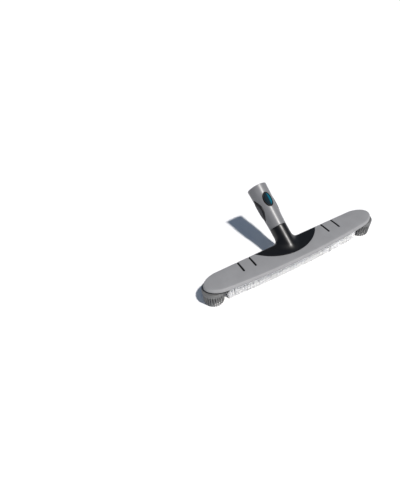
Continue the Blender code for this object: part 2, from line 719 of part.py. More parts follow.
def make_badge(parts, cutters, bezel_material, insert_material, handle):
    def plate(bm):
        add_front_prism(bm, ellipse(BADGE_CENTRE, BADGE_LENGTH, BADGE_WIDTH), -2 * SOCKET_RIM_RADIUS, 0.0)

    def insert_plate(bm, gap=0.0):
        rim = BADGE_RIM - gap
        outline = ellipse(BADGE_CENTRE, BADGE_LENGTH - 2 * rim, BADGE_WIDTH - 2 * rim)
        add_front_prism(bm, outline, -2 * SOCKET_RIM_RADIUS, 0.0)

    bezel = link("badge_bezel", mesh_from(plate, "badge_bezel"), parts, bezel_material, handle)
    boolean(bezel, 'INTERSECT', sleeve("bezel_sleeve", -BADGE_DEPTH, BADGE_PROUD, cutters, handle))
    room = new_cutter("insert_room", lambda bm: insert_plate(bm, GAP), cutters, handle)
    floor = BADGE_PROUD - INSERT_DEPTH
    boolean(room, 'INTERSECT', sleeve("insert_room_sleeve", floor, SLEEVE_PAST, cutters, handle))
    boolean(bezel, 'DIFFERENCE', room)
    insert = link("badge_insert", mesh_from(insert_plate, "badge_insert"), parts, insert_material, handle)
    top = BADGE_PROUD + INSERT_DOME
    boolean(insert, 'INTERSECT', sleeve("insert_sleeve", floor + GAP, top, cutters, handle))


# ---------------------------------------------------------------- rockers, grips and leaf springs
def shift_mesh(obj, offset):
    """Move a mesh under its object, so that the object's origin lies on its joint's axis."""
    obj.data.transform(Matrix.Translation(-offset))
    obj.location = offset


def make_rocker(parts, cutters, materials, handle, side, word):
    name = f"rocker_{word}"
    pivot = Vector((side * ROCKER_PIVOT_X, 0, ROCKER_PIVOT))
    body_inner = SOCKET_BORE_RADIUS + ROCKER_INNER_GAP
    far = side * 2 * SOCKET_RIM_RADIUS

    def plate(bm):
        outline = pointed_oval(ROCKER_CENTRE, ROCKER_LENGTH, ROCKER_HALF_WIDTH)
        add_side_prism(bm, outline, side * LOWER_BORE_RADIUS / 2, far)

    def pegs(bm):
        tip = SOCKET_BORE_RADIUS - PEG_REACH
        levels = ((tip, PEG_RADIUS * PEG_TIP), (tip + PEG_REACH * PEG_TIP_RUN, PEG_RADIUS),
                  (body_inner + PEG_REACH / 2, PEG_RADIUS))
        rings = []
        for x, radius in levels:
            rings.append([(side * x, radius * math.cos(a), PEG_ALONG + radius * math.sin(a))
                          for a in arc(0, 2 * math.pi, PEG_STEPS)[:-1]])
        add_loft(bm, rings)

    def trunnions(bm):
        place = Matrix.Translation(pivot) @ Matrix.Rotation(math.pi / 2, 4, 'X')
        for end in (-1, 1):
            low, high = sorted((end * TRUNNION_INNER, end * TRUNNION_REACH))
            add_cylinder(bm, TRUNNION_RADIUS, low, high, place, segments=HOLE_STEPS)

    def grip_prism(bm, grow=0.0):
        outline = pointed_oval(GRIP_CENTRE, GRIP_LENGTH + 2 * grow, GRIP_HALF_WIDTH + grow)
        add_side_prism(bm, outline, side * LOWER_BORE_RADIUS, far)

    def tool(label, build):
        return new_cutter(f"{name}_{label}", build, cutters, handle)

    shell_profile = [(socket_radius(SLEEVE_HIGH) + ROCKER_PROUD, SLEEVE_HIGH),
                     (socket_radius(SLEEVE_LOW) + ROCKER_PROUD, SLEEVE_LOW),
                     (body_inner, SLEEVE_LOW), (body_inner, SLEEVE_HIGH)]
    shell = hide_as_cutter(turned(f"{name}_shell", shell_profile, cutters, parent=handle, steps=SLEEVE_STEPS))
    rocker = link(name, mesh_from(plate, name), parts, materials["black"], handle)
    shift_mesh(rocker, pivot)
    boolean(rocker, 'INTERSECT', shell)
    pocket = tool("grip_pocket", lambda bm: grip_prism(bm, GAP))
    boolean(pocket, 'INTERSECT', sleeve(f"{name}_pocket_sleeve", ROCKER_PROUD - GRIP_DEPTH, SLEEVE_PAST,
                                        cutters, handle))
    boolean(rocker, 'DIFFERENCE', pocket)
    boolean(rocker, 'UNION', tool("peg", pegs))
    boolean(rocker, 'UNION', tool("trunnions", trunnions))

    grip = link(f"grip_{word}", mesh_from(grip_prism, f"grip_{word}"), parts, materials["grip"], handle)
    shift_mesh(grip, pivot)
    boolean(grip, 'INTERSECT', sleeve(f"grip_{word}_sleeve", ROCKER_PROUD - GRIP_DEPTH + GAP,
                                      ROCKER_PROUD + GRIP_PROUD, cutters, handle))


def make_leaf(parts, material, handle, side, word):
    """A bent leaf that stands on the web and bears on the rocker's lower arm."""
    rocker_face = math.sqrt((SOCKET_BORE_RADIUS + ROCKER_INNER_GAP) ** 2 - (LEAF_WIDTH / 2) ** 2)
    bearing = rocker_face - GAP - LEAF_THICKNESS / 2
    foot = WEB_TOP + GAP + LEAF_THICKNESS / 2
    outer_foot = LOWER_BORE_RADIUS - LEAF_BACK_GAP
    path = [(WASHER_RADIUS + 3 * GAP, foot), (outer_foot - LEAF_BEND, foot),
            (outer_foot - LEAF_BEND_STEP[0], foot + LEAF_BEND_STEP[1]),
            (outer_foot, foot + LEAF_BEND_RISE), (outer_foot, LEAF_RISE),
            (bearing - LEAF_CREST[0], LEAF_CONTACT - LEAF_CREST[1]), (bearing, LEAF_CONTACT),
            (bearing - LEAF_CREST[0], LEAF_CONTACT + LEAF_CREST[1]),
            (bearing - LEAF_TAIL[0], LEAF_CONTACT + LEAF_TAIL[1])]
    name = f"leaf_spring_{word}"

    def strip(bm):
        rows = [[bm.verts.new((side * x, y, z)) for y in (-LEAF_WIDTH / 2, LEAF_WIDTH / 2)] for x, z in path]
        for a, b in zip(rows, rows[1:]):
            bm.faces.new((a[0], a[1], b[1], b[0]))

    leaf = link(name, mesh_from(strip, name), parts, material, handle)
    thick = leaf.modifiers.new("thickness", 'SOLIDIFY')
    thick.thickness = LEAF_THICKNESS
    thick.offset = 0
    thick.use_even_offset = True


def make_socket_screw(parts, material, handle):
    seat = WEB_TOP + GAP
    hole = SOCKET_SCREW_RADIUS + SCREW_GAP
    turned("socket_washer", [(WASHER_RADIUS, seat + WASHER_THICKNESS), (WASHER_RADIUS, seat),
                             (hole, seat), (hole, seat + WASHER_THICKNESS)],
           parts, material, handle, steps=WASHER_STEPS)
    screw = head_screw("socket_screw", SOCKET_SCREW_RADIUS, SOCKET_SCREW_HEAD_RADIUS,
                       SOCKET_SCREW_HEAD_HEIGHT, SOCKET_SCREW_LENGTH, parts, material, handle)
    screw.location = (0, 0, SOCKET_SCREW_SEAT)
    screw.rotation_euler = (math.pi, 0, 0)


# ---------------------------------------------------------------- assembly
def main():
    clear_scene()
    parts = new_collection("pool_wall_brush")
    cutters = new_collection("cutters")
    materials = {
        "cover": plastic("cover_grey", (0.27, 0.27, 0.275), 0.55),
        "black": plastic("black_gloss", (0.012, 0.012, 0.013), 0.25),
        "block": plastic("block_black", (0.015, 0.015, 0.015), 0.60),
        "socket": plastic("socket_grey", (0.26, 0.26, 0.27), 0.28),
        "bristle": plastic("bristle_ivory", (0.74, 0.73, 0.69), 0.55),
        "boot": plastic("boot_grey", (0.20, 0.20, 0.20), 0.75),
        "grip": plastic("grip_dark_grey", (0.05, 0.05, 0.055), 0.70),
        "teal": plastic("badge_teal", (0.01, 0.22, 0.30), 0.30),
        "steel": plastic("steel", (0.60, 0.60, 0.62), 0.30, 1.0),
    }

    handle = bpy.data.objects.new("handle_axis", None)
    parts.objects.link(handle)
    handle.location = JOINT
    handle.rotation_euler = (HANDLE_TURN, 0, 0)

    make_cover(parts, cutters, materials["cover"])
    make_block(parts, cutters, materials["block"])
    make_rows(parts, materials["bristle"])
    make_head_screws(parts, materials["steel"])
    make_saddle(parts, cutters, materials["black"])
    make_socket(parts, cutters, materials["socket"], handle)
    make_badge(parts, cutters, materials["black"], materials["teal"], handle)
    make_socket_screw(parts, materials["steel"], handle)
    for side, word in ((-1, "left"), (1, "right")):
        make_boot(parts, cutters, materials["boot"], side, word)
        make_rocker(parts, cutters, materials, handle, side, word)
        make_leaf(parts, materials["steel"], handle, side, word)
    bpy.context.view_layer.update()


main()
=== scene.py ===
"""Looks of a pool wall brush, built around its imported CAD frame.

Metres, in the frame's own axes: the brush stands on its bristle tips at z = 0, its length runs along X
and the pole socket leans back towards +Y.
"""

import itertools
import math
import random

import bmesh
import bpy
import numpy as np
from mathutils import Matrix, Vector


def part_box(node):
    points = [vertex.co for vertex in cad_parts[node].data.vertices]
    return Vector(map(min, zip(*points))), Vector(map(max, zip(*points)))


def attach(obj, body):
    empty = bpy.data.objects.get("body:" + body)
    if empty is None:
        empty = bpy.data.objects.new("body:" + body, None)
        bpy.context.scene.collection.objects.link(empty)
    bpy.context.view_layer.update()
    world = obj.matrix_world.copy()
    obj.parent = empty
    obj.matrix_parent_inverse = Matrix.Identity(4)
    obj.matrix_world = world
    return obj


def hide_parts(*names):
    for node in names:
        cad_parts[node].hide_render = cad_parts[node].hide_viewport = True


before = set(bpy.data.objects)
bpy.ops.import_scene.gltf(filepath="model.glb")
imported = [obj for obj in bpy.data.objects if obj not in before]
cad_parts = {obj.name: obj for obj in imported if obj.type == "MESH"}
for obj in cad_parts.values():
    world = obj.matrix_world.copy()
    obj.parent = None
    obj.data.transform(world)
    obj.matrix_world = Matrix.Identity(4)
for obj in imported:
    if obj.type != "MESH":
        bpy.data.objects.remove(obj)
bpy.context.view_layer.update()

# ---------------------------------------------------------------- sizes read from the frame
COVER_LOW, COVER_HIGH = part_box("top_cover")
BOOT_LOW, BOOT_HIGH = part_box("corner_boot_right")
HALF_LENGTH = COVER_HIGH.x
COVER_WIDTH = COVER_HIGH.y - COVER_LOW.y
COVER_Z = COVER_LOW.z
CROWN_Z = COVER_HIGH.z
BOOT_X = (BOOT_LOW.x + BOOT_HIGH.x) / 2
BOOT_Y = (BOOT_LOW.y + BOOT_HIGH.y) / 2
BOOT_RADIUS = (BOOT_HIGH.x - BOOT_LOW.x) / 2
BOOT_TOP_Z = BOOT_HIGH.z

# ---------------------------------------------------------------- sizes that the looks share with the CAD
GAP = 0.0003                    # clearance between pieces
END_RUN = 0.0377                # length of each rounded end of the head
FRONT_BOW = 0.0085              # how far the edges draw in towards the ends
BACK_BOW = 0.0007
COVER_CROWN = 0.0005            # rise of the cover's top above its edge
COVER_EDGE_RADIUS = 0.0045
COVER_WALL = 0.0025
BLOCK_Z = 0.0370                # underside of the block, where the bristles leave it
BLOCK_TOP_Z = 0.0435
BLOCK_INSET = 0.0045            # of the block's sides from the cover's
SLOT_WIDTH = 0.004
SLOT_X = (0.090, 0.117)         # on each side
SLOT_FRONT_Y = -0.001
SLOT_SKIRT = 0.002
SADDLE_RADIUS = 0.0944          # of the crescent's front edge
SADDLE_FRONT_Y = -0.0115
HANDLE_TILT = math.radians(33.0)    # above the horizontal
JOINT_Y = 0.0547                # where the neck ends and the socket begins
JOINT_RISE = 0.0159             # above the cover's shoulder
NECK_RADIUS = 0.01785
NECK_KEEL_Z = 0.0372            # the neck's underside
NECK_RUN = 0.0620
SPIGOT_RADIUS = 0.0120
SPIGOT_LENGTH = 0.0140
SOCKET_LENGTH = 0.0960          # distances along the socket are from the joint
SOCKET_RIM_RADIUS = 0.0215
SOCKET_BORE_RADIUS = 0.01615
WEB_THICKNESS = 0.0040          # floor of the socket, over the spigot
LOWER_BORE_RADIUS = 0.0135
POLE_STOP = 0.0430              # step that the pole's end meets
SOCKET_SCREW_HOLE = 0.0022
ROCKER_CENTRE = 0.0462
ROCKER_LENGTH = 0.0500
ROCKER_HALF_WIDTH = 0.0106
ROCKER_PROUD = 0.0010           # above the socket's surface
ROCKER_PIVOT = 0.0450
ROCKER_PIVOT_X = 0.0134         # from the socket's axis
TRUNNION_RADIUS = 0.0010
TRUNNION_REACH = 0.0125
PEG_ALONG = 0.0630
PEG_RADIUS = 0.0030
PEG_REACH = 0.0030
WINDOW_END_GAP = 0.0014
WINDOW_SIDE_GAP = 0.0005
GRIP_CENTRE = 0.0450
GRIP_LENGTH = 0.0360
GRIP_HALF_WIDTH = 0.0072
GRIP_DEPTH = 0.0010
GRIP_PROUD = 0.0004
BADGE_CENTRE = 0.0590
BADGE_LENGTH = 0.0330
BADGE_WIDTH = 0.0195
BADGE_DEPTH = 0.0008
BADGE_PROUD = 0.0007
BADGE_RIM = 0.0024              # width of the bezel
ROW_COUNT = 5
ROW_SPREAD = 0.50               # the outer rows, as a share of the head's half width
TUFT_PITCH = 0.0068
TUFTS_PER_ROW = 47
TUFT_RADIUS = 0.0023
BOOT_BAND = 0.0088              # height of the boot's solid band
BOOT_WALL = 0.0030
BOOT_WEB = 0.0030               # thickness of its top
FINGER_RINGS = ((0.0208, 28), (0.0140, 16), (0.0074, 7))    # (radius, fingers)
FINGER_WIDTH = 0.0026
FINGER_DEPTH = 0.0030
FINGER_TAPER = 0.72             # a finger's tip, as a share of its root
FINGER_LEAN = 0.06

# ---------------------------------------------------------------- sizes that belong to the looks
LIP = 0.0006                    # rounding of moulded edges
CUT_PAST = 10 * GAP             # how far a cutting shape runs past the surface that it opens
CUT_SHARP_DEGREES = 32          # cut pieces stay smooth below this angle
FACE_WEIGHT = 90                # how strongly their large faces lead the shading
FINE_TURN = 144                 # points around a large circle
CRESCENT_TURN = 2 * FINE_TURN

FLARE = 0.0002                  # rounding of the cover's cut edges
FLARE_START = 0.3               # share of the flare at the shoulder
CROWN_RUN = 3.4 * COVER_EDGE_RADIUS         # the crown rises over this run, inside the rounded edge
CROWN_RISE = 1.5 * COVER_CROWN
CROWN_STATIONS = (1.6, 2.3, 3.1, 4.2)       # rings on the crown, in edge radii from the outline
SLOT_CORNER = 0.35 * SLOT_WIDTH

FILLET_SIDE = 0.0150            # blend of neck and saddle beside the neck
FILLET_FRONT = 0.0052           # and in front of it
SADDLE_STEP = 0.00065           # grid of the saddle's surface
SLOPE_SHARE = 0.05              # of a grid step, over which the field's slope is taken
SMALLEST_SLOPE = 0.2            # keeps a point from jumping where the field is nearly flat

SOCKET_EDGE_RADIUS = 1.4 * LIP
WINDOW_ROUNDING = ((0.0, -1.0), (0.15, -0.45), (0.5, -0.1))     # (outwards, height) in lips
WINDOW_OPENING = 0.9 * LIP
INSERT_DOME = 2 * GAP           # rise of the badge's face from its edge to its middle

ROCKER_EDGE_RADIUS = 2 * LIP
GRIP_SEAT = ((3 * GAP, GAP), (1.5 * GAP, 0.0), (GAP, -GRIP_DEPTH))  # (outside the grip, above the rocker)
PEG_TIP_SHARE = 0.55            # the peg's flat tip, as a share of its radius
PEG_TIP_RUN = 0.4               # the rounding's length, as a share of the peg's reach
RIDGE_PITCH = 0.0020            # ridges across each grip
RIDGE_HEIGHT = 0.0003
RIDGE_STATIONS = 8              # rings to a ridge
RIDGE_FLANK = 2.5               # the ridges fade towards the grip's narrow ends
RIDGE_BLUNTNESS = 0.5
RIDGE_SIDE_FADE = 4             # and, by this power, towards its sides
GRIP_SIDE_FALL = 6              # power by which the grip rounds off at its sides
GRIP_CROWN_SHARE = 0.995        # the crown's width, as a share of the grip's

TUFT_HALF_LENGTH = 0.0032       # along the row
TUFT_LEAN = 0.0002              # spread of the tufts' lean, each way
FILAMENTS = 64                  # in each tuft
FILAMENT_RADIUS = 0.00026
FILAMENT_ROOT_Z = BLOCK_Z + 5 * GAP
FILAMENT_MIDDLE = 0.45          # where its middle ring stands, as a share of its length
FILAMENT_BEND = 1.3             # power by which it leaves the vertical
FILAMENT_BOW = 0.00015          # spread of its bow
FILAMENT_SIDES = 4
TUFT_SPLAY = 1.25               # how far a tuft opens towards its tips
TIP_WANDER = 0.00025            # spread of the tips, each way
TIP_SCATTER = 0.0005            # and their height above the ground
ROW_SEED = 100

BOOT_EDGE_RADIUS = 3 * LIP
FLUTE_DEPTH = 0.0009            # dips in the boot's band between the outer fingers
FLUTE_POINTS = 12               # points to a dip
FLUTE_LEVELS = ((0.35, 0.05), (0.5, 0.3), (0.65, 0.65), (0.8, 0.9), (1.0, 1.0))    # (down the band, depth)
FINGER_LEVELS = ((0.0, 0.45), (0.012, 0.8), (0.04, 1.0), (0.3, 1.0), (0.6, 1.0), (1.0, 1.0))   # (up, width)
FINGER_LEAN_BEND = 1.4          # power by which a finger leans inwards
FINGER_SQUARENESS = 0.7         # 1 is an oval section, less is squarer
FINGER_SIDES = 12

END_START = HALF_LENGTH - END_RUN
SHOULDER_Z = CROWN_Z - COVER_CROWN
EDGE_TOP_Z = SHOULDER_Z - COVER_CROWN / 2   # top of the cover's rounded edge
SADDLE_CENTRE_Y = SADDLE_FRONT_Y + SADDLE_RADIUS
JOINT = Vector((0.0, JOINT_Y, SHOULDER_Z + JOINT_RISE))
AXIS = Vector((0.0, math.cos(HANDLE_TILT), math.sin(HANDLE_TILT)))
HANDLE = Matrix.Translation(JOINT) @ Matrix.Rotation(HANDLE_TILT - math.pi / 2, 4, 'X')
WEB_Z = SPIGOT_LENGTH + GAP
WEB_TOP = WEB_Z + WEB_THICKNESS


# ---------------------------------------------------------------- mesh helpers
def loft(bm, rings, around=False):
    """Join closed rings of equally many points, and close both ends or go around to the first ring."""
    loops = [[bm.verts.new(point) for point in ring] for ring in rings]
    pairs = list(zip(loops, loops[1:]))
    if around:
        pairs.append((loops[-1], loops[0]))
    for low, high in pairs:
        for i in range(len(low)):
            j = (i + 1) % len(low)
            bm.faces.new((low[i], low[j], high[j], high[i]))
    if not around:
        bm.faces.new(tuple(reversed(loops[0])))
        bm.faces.new(loops[-1])


def mesh_from(name, build):
    """A mesh from a function that fills a bmesh, with its normals outwards."""
    bm = bmesh.new()
    build(bm)
    bmesh.ops.recalc_face_normals(bm, faces=bm.faces)
    mesh = bpy.data.meshes.new(name)
    bm.to_mesh(mesh)
    bm.free()
    return mesh


def add_object(name, mesh, material=None, place=None, smooth_angle=38.0):
    """Put a mesh into the scene, moved from its own frame into the part's by a matrix."""
    if place is not None:
        mesh.transform(place)
    obj = bpy.data.objects.new(name, mesh)
    bpy.context.scene.collection.objects.link(obj)
    if material is not None:
        mesh.materials.append(material)
    mesh.shade_smooth()
    mesh.set_sharp_from_angle(angle=math.radians(smooth_angle))
    return obj


def arc(start, end, count):
    """Evenly spaced values from start to end, both included."""
    return [start + (end - start) * i / count for i in range(count + 1)]


def quarter_turn(count):
    return arc(0, math.pi / 2, count)


def full_turn(count):
    """Angles of a closed ring of count points."""
    return arc(0, 2 * math.pi, count)[:-1]


def circle(radius, z, steps=FINE_TURN):
    return [(radius * math.cos(a), radius * math.sin(a), z) for a in full_turn(steps)]


def cut(obj, cutters):
    """Cut an object with others, keep the result as its mesh and remove the cutters."""
    for other in cutters:
        modifier = obj.modifiers.new(other.name, 'BOOLEAN')
        modifier.operation = 'DIFFERENCE'
        modifier.object = other
        modifier.solver = 'EXACT'
    bake_modifiers(obj)
    for other in cutters:
        bpy.data.objects.remove(other, do_unlink=True)


def bake_modifiers(obj):
    """Keep the result of an object's modifiers as its mesh."""
    graph = bpy.context.evaluated_depsgraph_get()
    graph.update()
    mesh = bpy.data.meshes.new_from_object(obj.evaluated_get(graph))
    obj.modifiers.clear()
    obj.data = mesh


def even_normals(obj):
    """Let the large faces lead the shading, so that cut surfaces stay smooth up to their edges."""
    obj.data.shade_smooth()
    obj.data.set_sharp_from_angle(angle=math.radians(CUT_SHARP_DEGREES))
    modifier = obj.modifiers.new("even_normals", 'WEIGHTED_NORMAL')
    modifier.keep_sharp = True
    modifier.weight = FACE_WEIGHT
    bake_modifiers(obj)


def stand_for(obj, body, slot, *nodes):
    """The piece rides on a body and is shown in place of CAD nodes."""
    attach(obj, body)
    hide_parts(*nodes)


# ---------------------------------------------------------------- head outline
def back_edge(x):
    return COVER_WIDTH / 2 - BACK_BOW * (x / END_START) ** 2


def front_edge(x):
    return -COVER_WIDTH / 2 + FRONT_BOW * (x / END_START) ** 2


def across(x, share):
    """The y at a share of the half width, -1 at the front edge and 1 at the back edge."""
    return (back_edge(x) + front_edge(x)) / 2 + share * (back_edge(x) - front_edge(x)) / 2


def head_outline(inset=0.0, side_steps=60, end_steps=30):
    """The head's outline from above, drawn in by an inset; counter-clockwise."""
    run = END_RUN - inset
    stations = [(x, 1.0) for x in arc(-END_START, END_START, side_steps)[1:-1]]
    ends = [(END_START + run * math.sin(a), math.cos(a)) for a in quarter_turn(end_steps)]
    stations = [(-x, f) for x, f in reversed(ends)] + stations + ends

    def edge_point(x, factor, side):
        middle = (back_edge(x) + front_edge(x)) / 2
        half = (back_edge(x) - front_edge(x)) / 2 - inset
        return (x, middle + side * half * factor)

    front = [edge_point(x, f, -1) for x, f in stations]
    back = [edge_point(x, f, 1) for x, f in stations[1:-1]]
    return front + list(reversed(back))


def crown_height(inset):
    """Height of the cover's gently crowned top at a distance inside its outline, or at an array of them."""
    share = np.clip((inset - COVER_EDGE_RADIUS) / CROWN_RUN, 0.0, 1.0)
    return EDGE_TOP_Z + CROWN_RISE * (1 - (1 - share) ** 2)


def head_levels():
    """(inset, height) along the cover's section, from the lower edge to the crown."""
    lower_round = [(LIP * (1 - math.sin(a)), COVER_Z + LIP * (1 - math.cos(a))) for a in quarter_turn(3)]
    shoulder = [(COVER_EDGE_RADIUS * (1 - math.cos(a)), EDGE_TOP_Z - COVER_EDGE_RADIUS * (1 - math.sin(a)))
                for a in quarter_turn(8)]
    crown = [(COVER_EDGE_RADIUS * f, crown_height(COVER_EDGE_RADIUS * f)) for f in CROWN_STATIONS]
    return lower_round + shoulder + crown


# ---------------------------------------------------------------- cover and block
def make_cover(material):
    def skin(bm):
        outer_levels = head_levels()
        above_lower_round = outer_levels[4:]
        inner_levels = [(COVER_WALL, COVER_Z)]
        inner_levels += [(inset + COVER_WALL, max(z - COVER_WALL, COVER_Z + COVER_WALL))
                         for inset, z in above_lower_round]
        loft(bm, [[(x, y, z) for x, y in head_outline(inset)]
                  for inset, z in list(reversed(inner_levels)) + outer_levels])

    cover = add_object("cover_skin", mesh_from("cover_skin", skin), material)

    def crescent(bm):
        levels = ((0.0, BLOCK_Z), (0.0, SHOULDER_Z - FLARE), (FLARE * FLARE_START, SHOULDER_Z),
                  (FLARE, CROWN_Z + GAP), (FLARE, CROWN_Z + COVER_WALL))
        loft(bm, [[(x, y + SADDLE_CENTRE_Y, z) for x, y, _ in circle(SADDLE_RADIUS + grow, z, CRESCENT_TURN)]
                  for grow, z in levels])

    cutters = [add_object("crescent_cut", mesh_from("crescent_cut", crescent))]
    for x in sorted(side * x for x in SLOT_X for side in (-1, 1)):      # left to right
        cutters.append(add_object("slot_cut", mesh_from("slot_cut", lambda bm: slot_shape(bm, x))))
    cut(cover, cutters)
    even_normals(cover)
    stand_for(cover, "brush", "cover_grey", "top_cover")


def slot_shape(bm, x):
    """A slot's room with a rounded front end and a slightly opened mouth."""
    levels = ((0.0, COVER_Z + SLOT_SKIRT), (0.0, SHOULDER_Z - FLARE), (FLARE, CROWN_Z + GAP),
              (FLARE, CROWN_Z + COVER_WALL))
    rings = []
    for grow, z in levels:
        half = SLOT_WIDTH / 2 + grow
        front = [(x - half + SLOT_CORNER * (1 - math.cos(a)),
                  SLOT_FRONT_Y - grow + SLOT_CORNER * (1 - math.sin(a)), z) for a in quarter_turn(5)]
        mirrored = [(2 * x - px, py, pz) for px, py, pz in reversed(front)]
        rings.append(front + mirrored + [(x + half, COVER_WIDTH, z), (x - half, COVER_WIDTH, z)])
    loft(bm, rings)


# ---------------------------------------------------------------- saddle and neck
def smooth_union(a, b, reach):
    """The nearer of two fields, blended where they differ by less than reach."""
    share = np.clip(0.5 + 0.5 * (b - a) / reach, 0.0, 1.0)
    return b + (a - b) * share - reach * share * (1 - share)


def smooth_common(a, b, reach):
    """What two fields share, with its edge rounded in the same way."""
    return -smooth_union(-a, -b, reach)


def saddle_field(x, y, z):
    """Distance-like field of the moulded saddle, fillet, neck and spigot; negative inside."""
    bow = (x / END_START) ** 2
    middle = (FRONT_BOW - BACK_BOW) / 2 * bow
    half = COVER_WIDTH / 2 - (FRONT_BOW + BACK_BOW) / 2 * bow
    beyond = np.abs(y - middle) - half
    out = beyond + COVER_EDGE_RADIUS
    up = z - crown_height(-beyond) + COVER_EDGE_RADIUS
    plate = (np.minimum(np.maximum(out, up), 0) + np.hypot(np.maximum(out, 0), np.maximum(up, 0))
             - COVER_EDGE_RADIUS)
    plate = smooth_common(plate, COVER_Z - z, LIP)

    dy = y - JOINT.y
    dz = z - JOINT.z
    along = dy * AXIS.y + dz * AXIS.z
    front = -dy * AXIS.z + dz * AXIS.y
    from_axis = np.hypot(x, front)
    neck = np.maximum(from_axis - NECK_RADIUS, -NECK_RUN - along)
    foot_y = JOINT.y - JOINT_RISE / math.tan(HANDLE_TILT)
    beside = x ** 2 / (x ** 2 + np.minimum(y - foot_y, 0) ** 2 + 1e-9)      # 1 beside the neck, 0 before it
    reach = FILLET_FRONT + (FILLET_SIDE - FILLET_FRONT) * beside
    solid = smooth_union(plate, neck, reach)

    circle_edge = np.hypot(x, y - SADDLE_CENTRE_Y) - (SADDLE_RADIUS - GAP)
    solid = smooth_common(solid, circle_edge, LIP)
    solid = smooth_common(solid, along, LIP)
    spigot = np.maximum(from_axis - SPIGOT_RADIUS,
                        np.maximum(along - SPIGOT_LENGTH, -along - SPIGOT_LENGTH / 2))
    solid = np.minimum(solid, spigot)
    solid = smooth_common(solid, NECK_KEEL_Z - z, LIP)
    room = np.maximum(beyond + BLOCK_INSET - GAP, z - BLOCK_TOP_Z - GAP)
    return np.maximum(solid, -room)


def surface_net(field, low, high, step):
    """Quads over the zero surface of a field: one point for each grid cell that the surface crosses."""
    axes = [np.arange(a - 2 * step, b + 2 * step, step) for a, b in zip(low, high)]
    inside = field(*np.meshgrid(*axes, indexing="ij")) < 0
    shape = np.array(inside.shape)
    count = np.zeros(shape - 1, int)
    for i, j, k in itertools.product((0, 1), repeat=3):
        count += inside[i:shape[0] - 1 + i, j:shape[1] - 1 + j, k:shape[2] - 1 + k]
    crossed = (count > 0) & (count < 8)     # some but not all of the cell's corners are inside
    index = np.full(crossed.shape, -1)
    index[crossed] = np.arange(crossed.sum())
    points = np.array([a[0] for a in axes]) + (np.argwhere(crossed) + 0.5) * step

    quads = []
    for axis in range(3):
        first = np.moveaxis(inside, axis, 0)
        edges = np.argwhere(np.moveaxis(first[:-1] != first[1:], 0, axis))
        one = np.eye(3, dtype=int)[(axis + 1) % 3]
        two = np.eye(3, dtype=int)[(axis + 2) % 3]
        corners = [index[tuple((edges - shift).T)] for shift in (one + two, two, 0 * one, one)]
        loop = np.stack(corners, axis=1)
        outside = ~inside[tuple(edges.T)]
        loop[outside] = loop[outside][:, ::-1]
        quads.append(loop)
    return points, np.concatenate(quads)


def settle(field, points, quads, step, rounds=6):
    """Even out the points along the surface and bring them onto it."""
    ends = np.concatenate([quads[:, [i, (i + 1) % 4]] for i in range(4)])
    small = step * SLOPE_SHARE

    def onto_surface(p):
        value = field(*p.T)
        slope = np.stack([(field(*(p + small * e).T) - field(*(p - small * e).T)) / (2 * small)
                          for e in np.eye(3)], axis=1)
        size = np.maximum((slope ** 2).sum(axis=1), SMALLEST_SLOPE)
        move = -(value / size)[:, None] * slope
        length = np.linalg.norm(move, axis=1, keepdims=True)
        return p + move * np.minimum(1.0, step / np.maximum(length, 1e-12))

    for _ in range(rounds):
        for _ in range(2):
            points = onto_surface(points)
        total = np.zeros_like(points)
        count = np.zeros(len(points))
        np.add.at(total, ends[:, 0], points[ends[:, 1]])
        np.add.at(count, ends[:, 0], 1)
        points = points * 0.5 + 0.5 * total / count[:, None]
    for _ in range(3):
        points = onto_surface(points)
    return points


def make_saddle(material):
    low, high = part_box("saddle_neck")
    points, quads = surface_net(saddle_field, low, high, SADDLE_STEP)
    points = settle(saddle_field, points, quads, SADDLE_STEP)
    mesh = bpy.data.meshes.new("saddle_and_neck")
    mesh.from_pydata(points.tolist(), [], quads.tolist())
    saddle = add_object("saddle_and_neck", mesh, material, smooth_angle=60)
    stand_for(saddle, "brush", "black_gloss", "saddle_neck")


# ---------------------------------------------------------------- socket surface, in the handle's frame
def socket_radius(along):
    """Outside radius of the tapered socket."""
    return NECK_RADIUS + (SOCKET_RIM_RADIUS - NECK_RADIUS) * along / SOCKET_LENGTH


def on_side(side, point, proud):
    """A point (across, along) on the socket's left or right side, raised by proud."""
    width, along = point
    radius = socket_radius(along) + proud
    return (side * math.sqrt(radius ** 2 - width ** 2), width, along)


def on_front(point, proud):
    """A point (across, along) on the socket's upper face, raised by proud."""
    width, along = point
    radius = socket_radius(along) + proud
    return (width, -math.sqrt(radius ** 2 - width ** 2), along)


def pointed_oval(centre, length, half_width, steps=28):
    """A pointed oval of (across, along) points with parabolic sides."""
    run = [centre - length / 2 * math.cos(a) for a in arc(0, math.pi, steps)]
    side = [half_width * (1 - ((z - centre) / (length / 2)) ** 2) for z in run]
    right = list(zip(side, run))
    left = [(-y, z) for y, z in reversed(right[1:-1])]
    return right + left


def ellipse(centre, length, width, steps=FINE_TURN // 2):
    return [(width / 2 * math.cos(a), centre + length / 2 * math.sin(a)) for a in full_turn(steps)]


def rounded_profile(corners, radius, steps=4):
    """A closed (radius, z) profile from (radius, z, is_round) corners, each round one eased by a curve."""
    points = []
    count = len(corners)
    for i, (r, z, is_round) in enumerate(corners):
        corner = Vector((r, z))
        if not is_round:
            points.append((r, z))
            continue
        before = (Vector(corners[i - 1][:2]) - corner).normalized() * radius
        after = (Vector(corners[(i + 1) % count][:2]) - corner).normalized() * radius
        for t in arc(0, 1, steps):
            p = corner + before * (1 - t) ** 2 + after * t ** 2
            points.append((p.x, p.y))
    return points


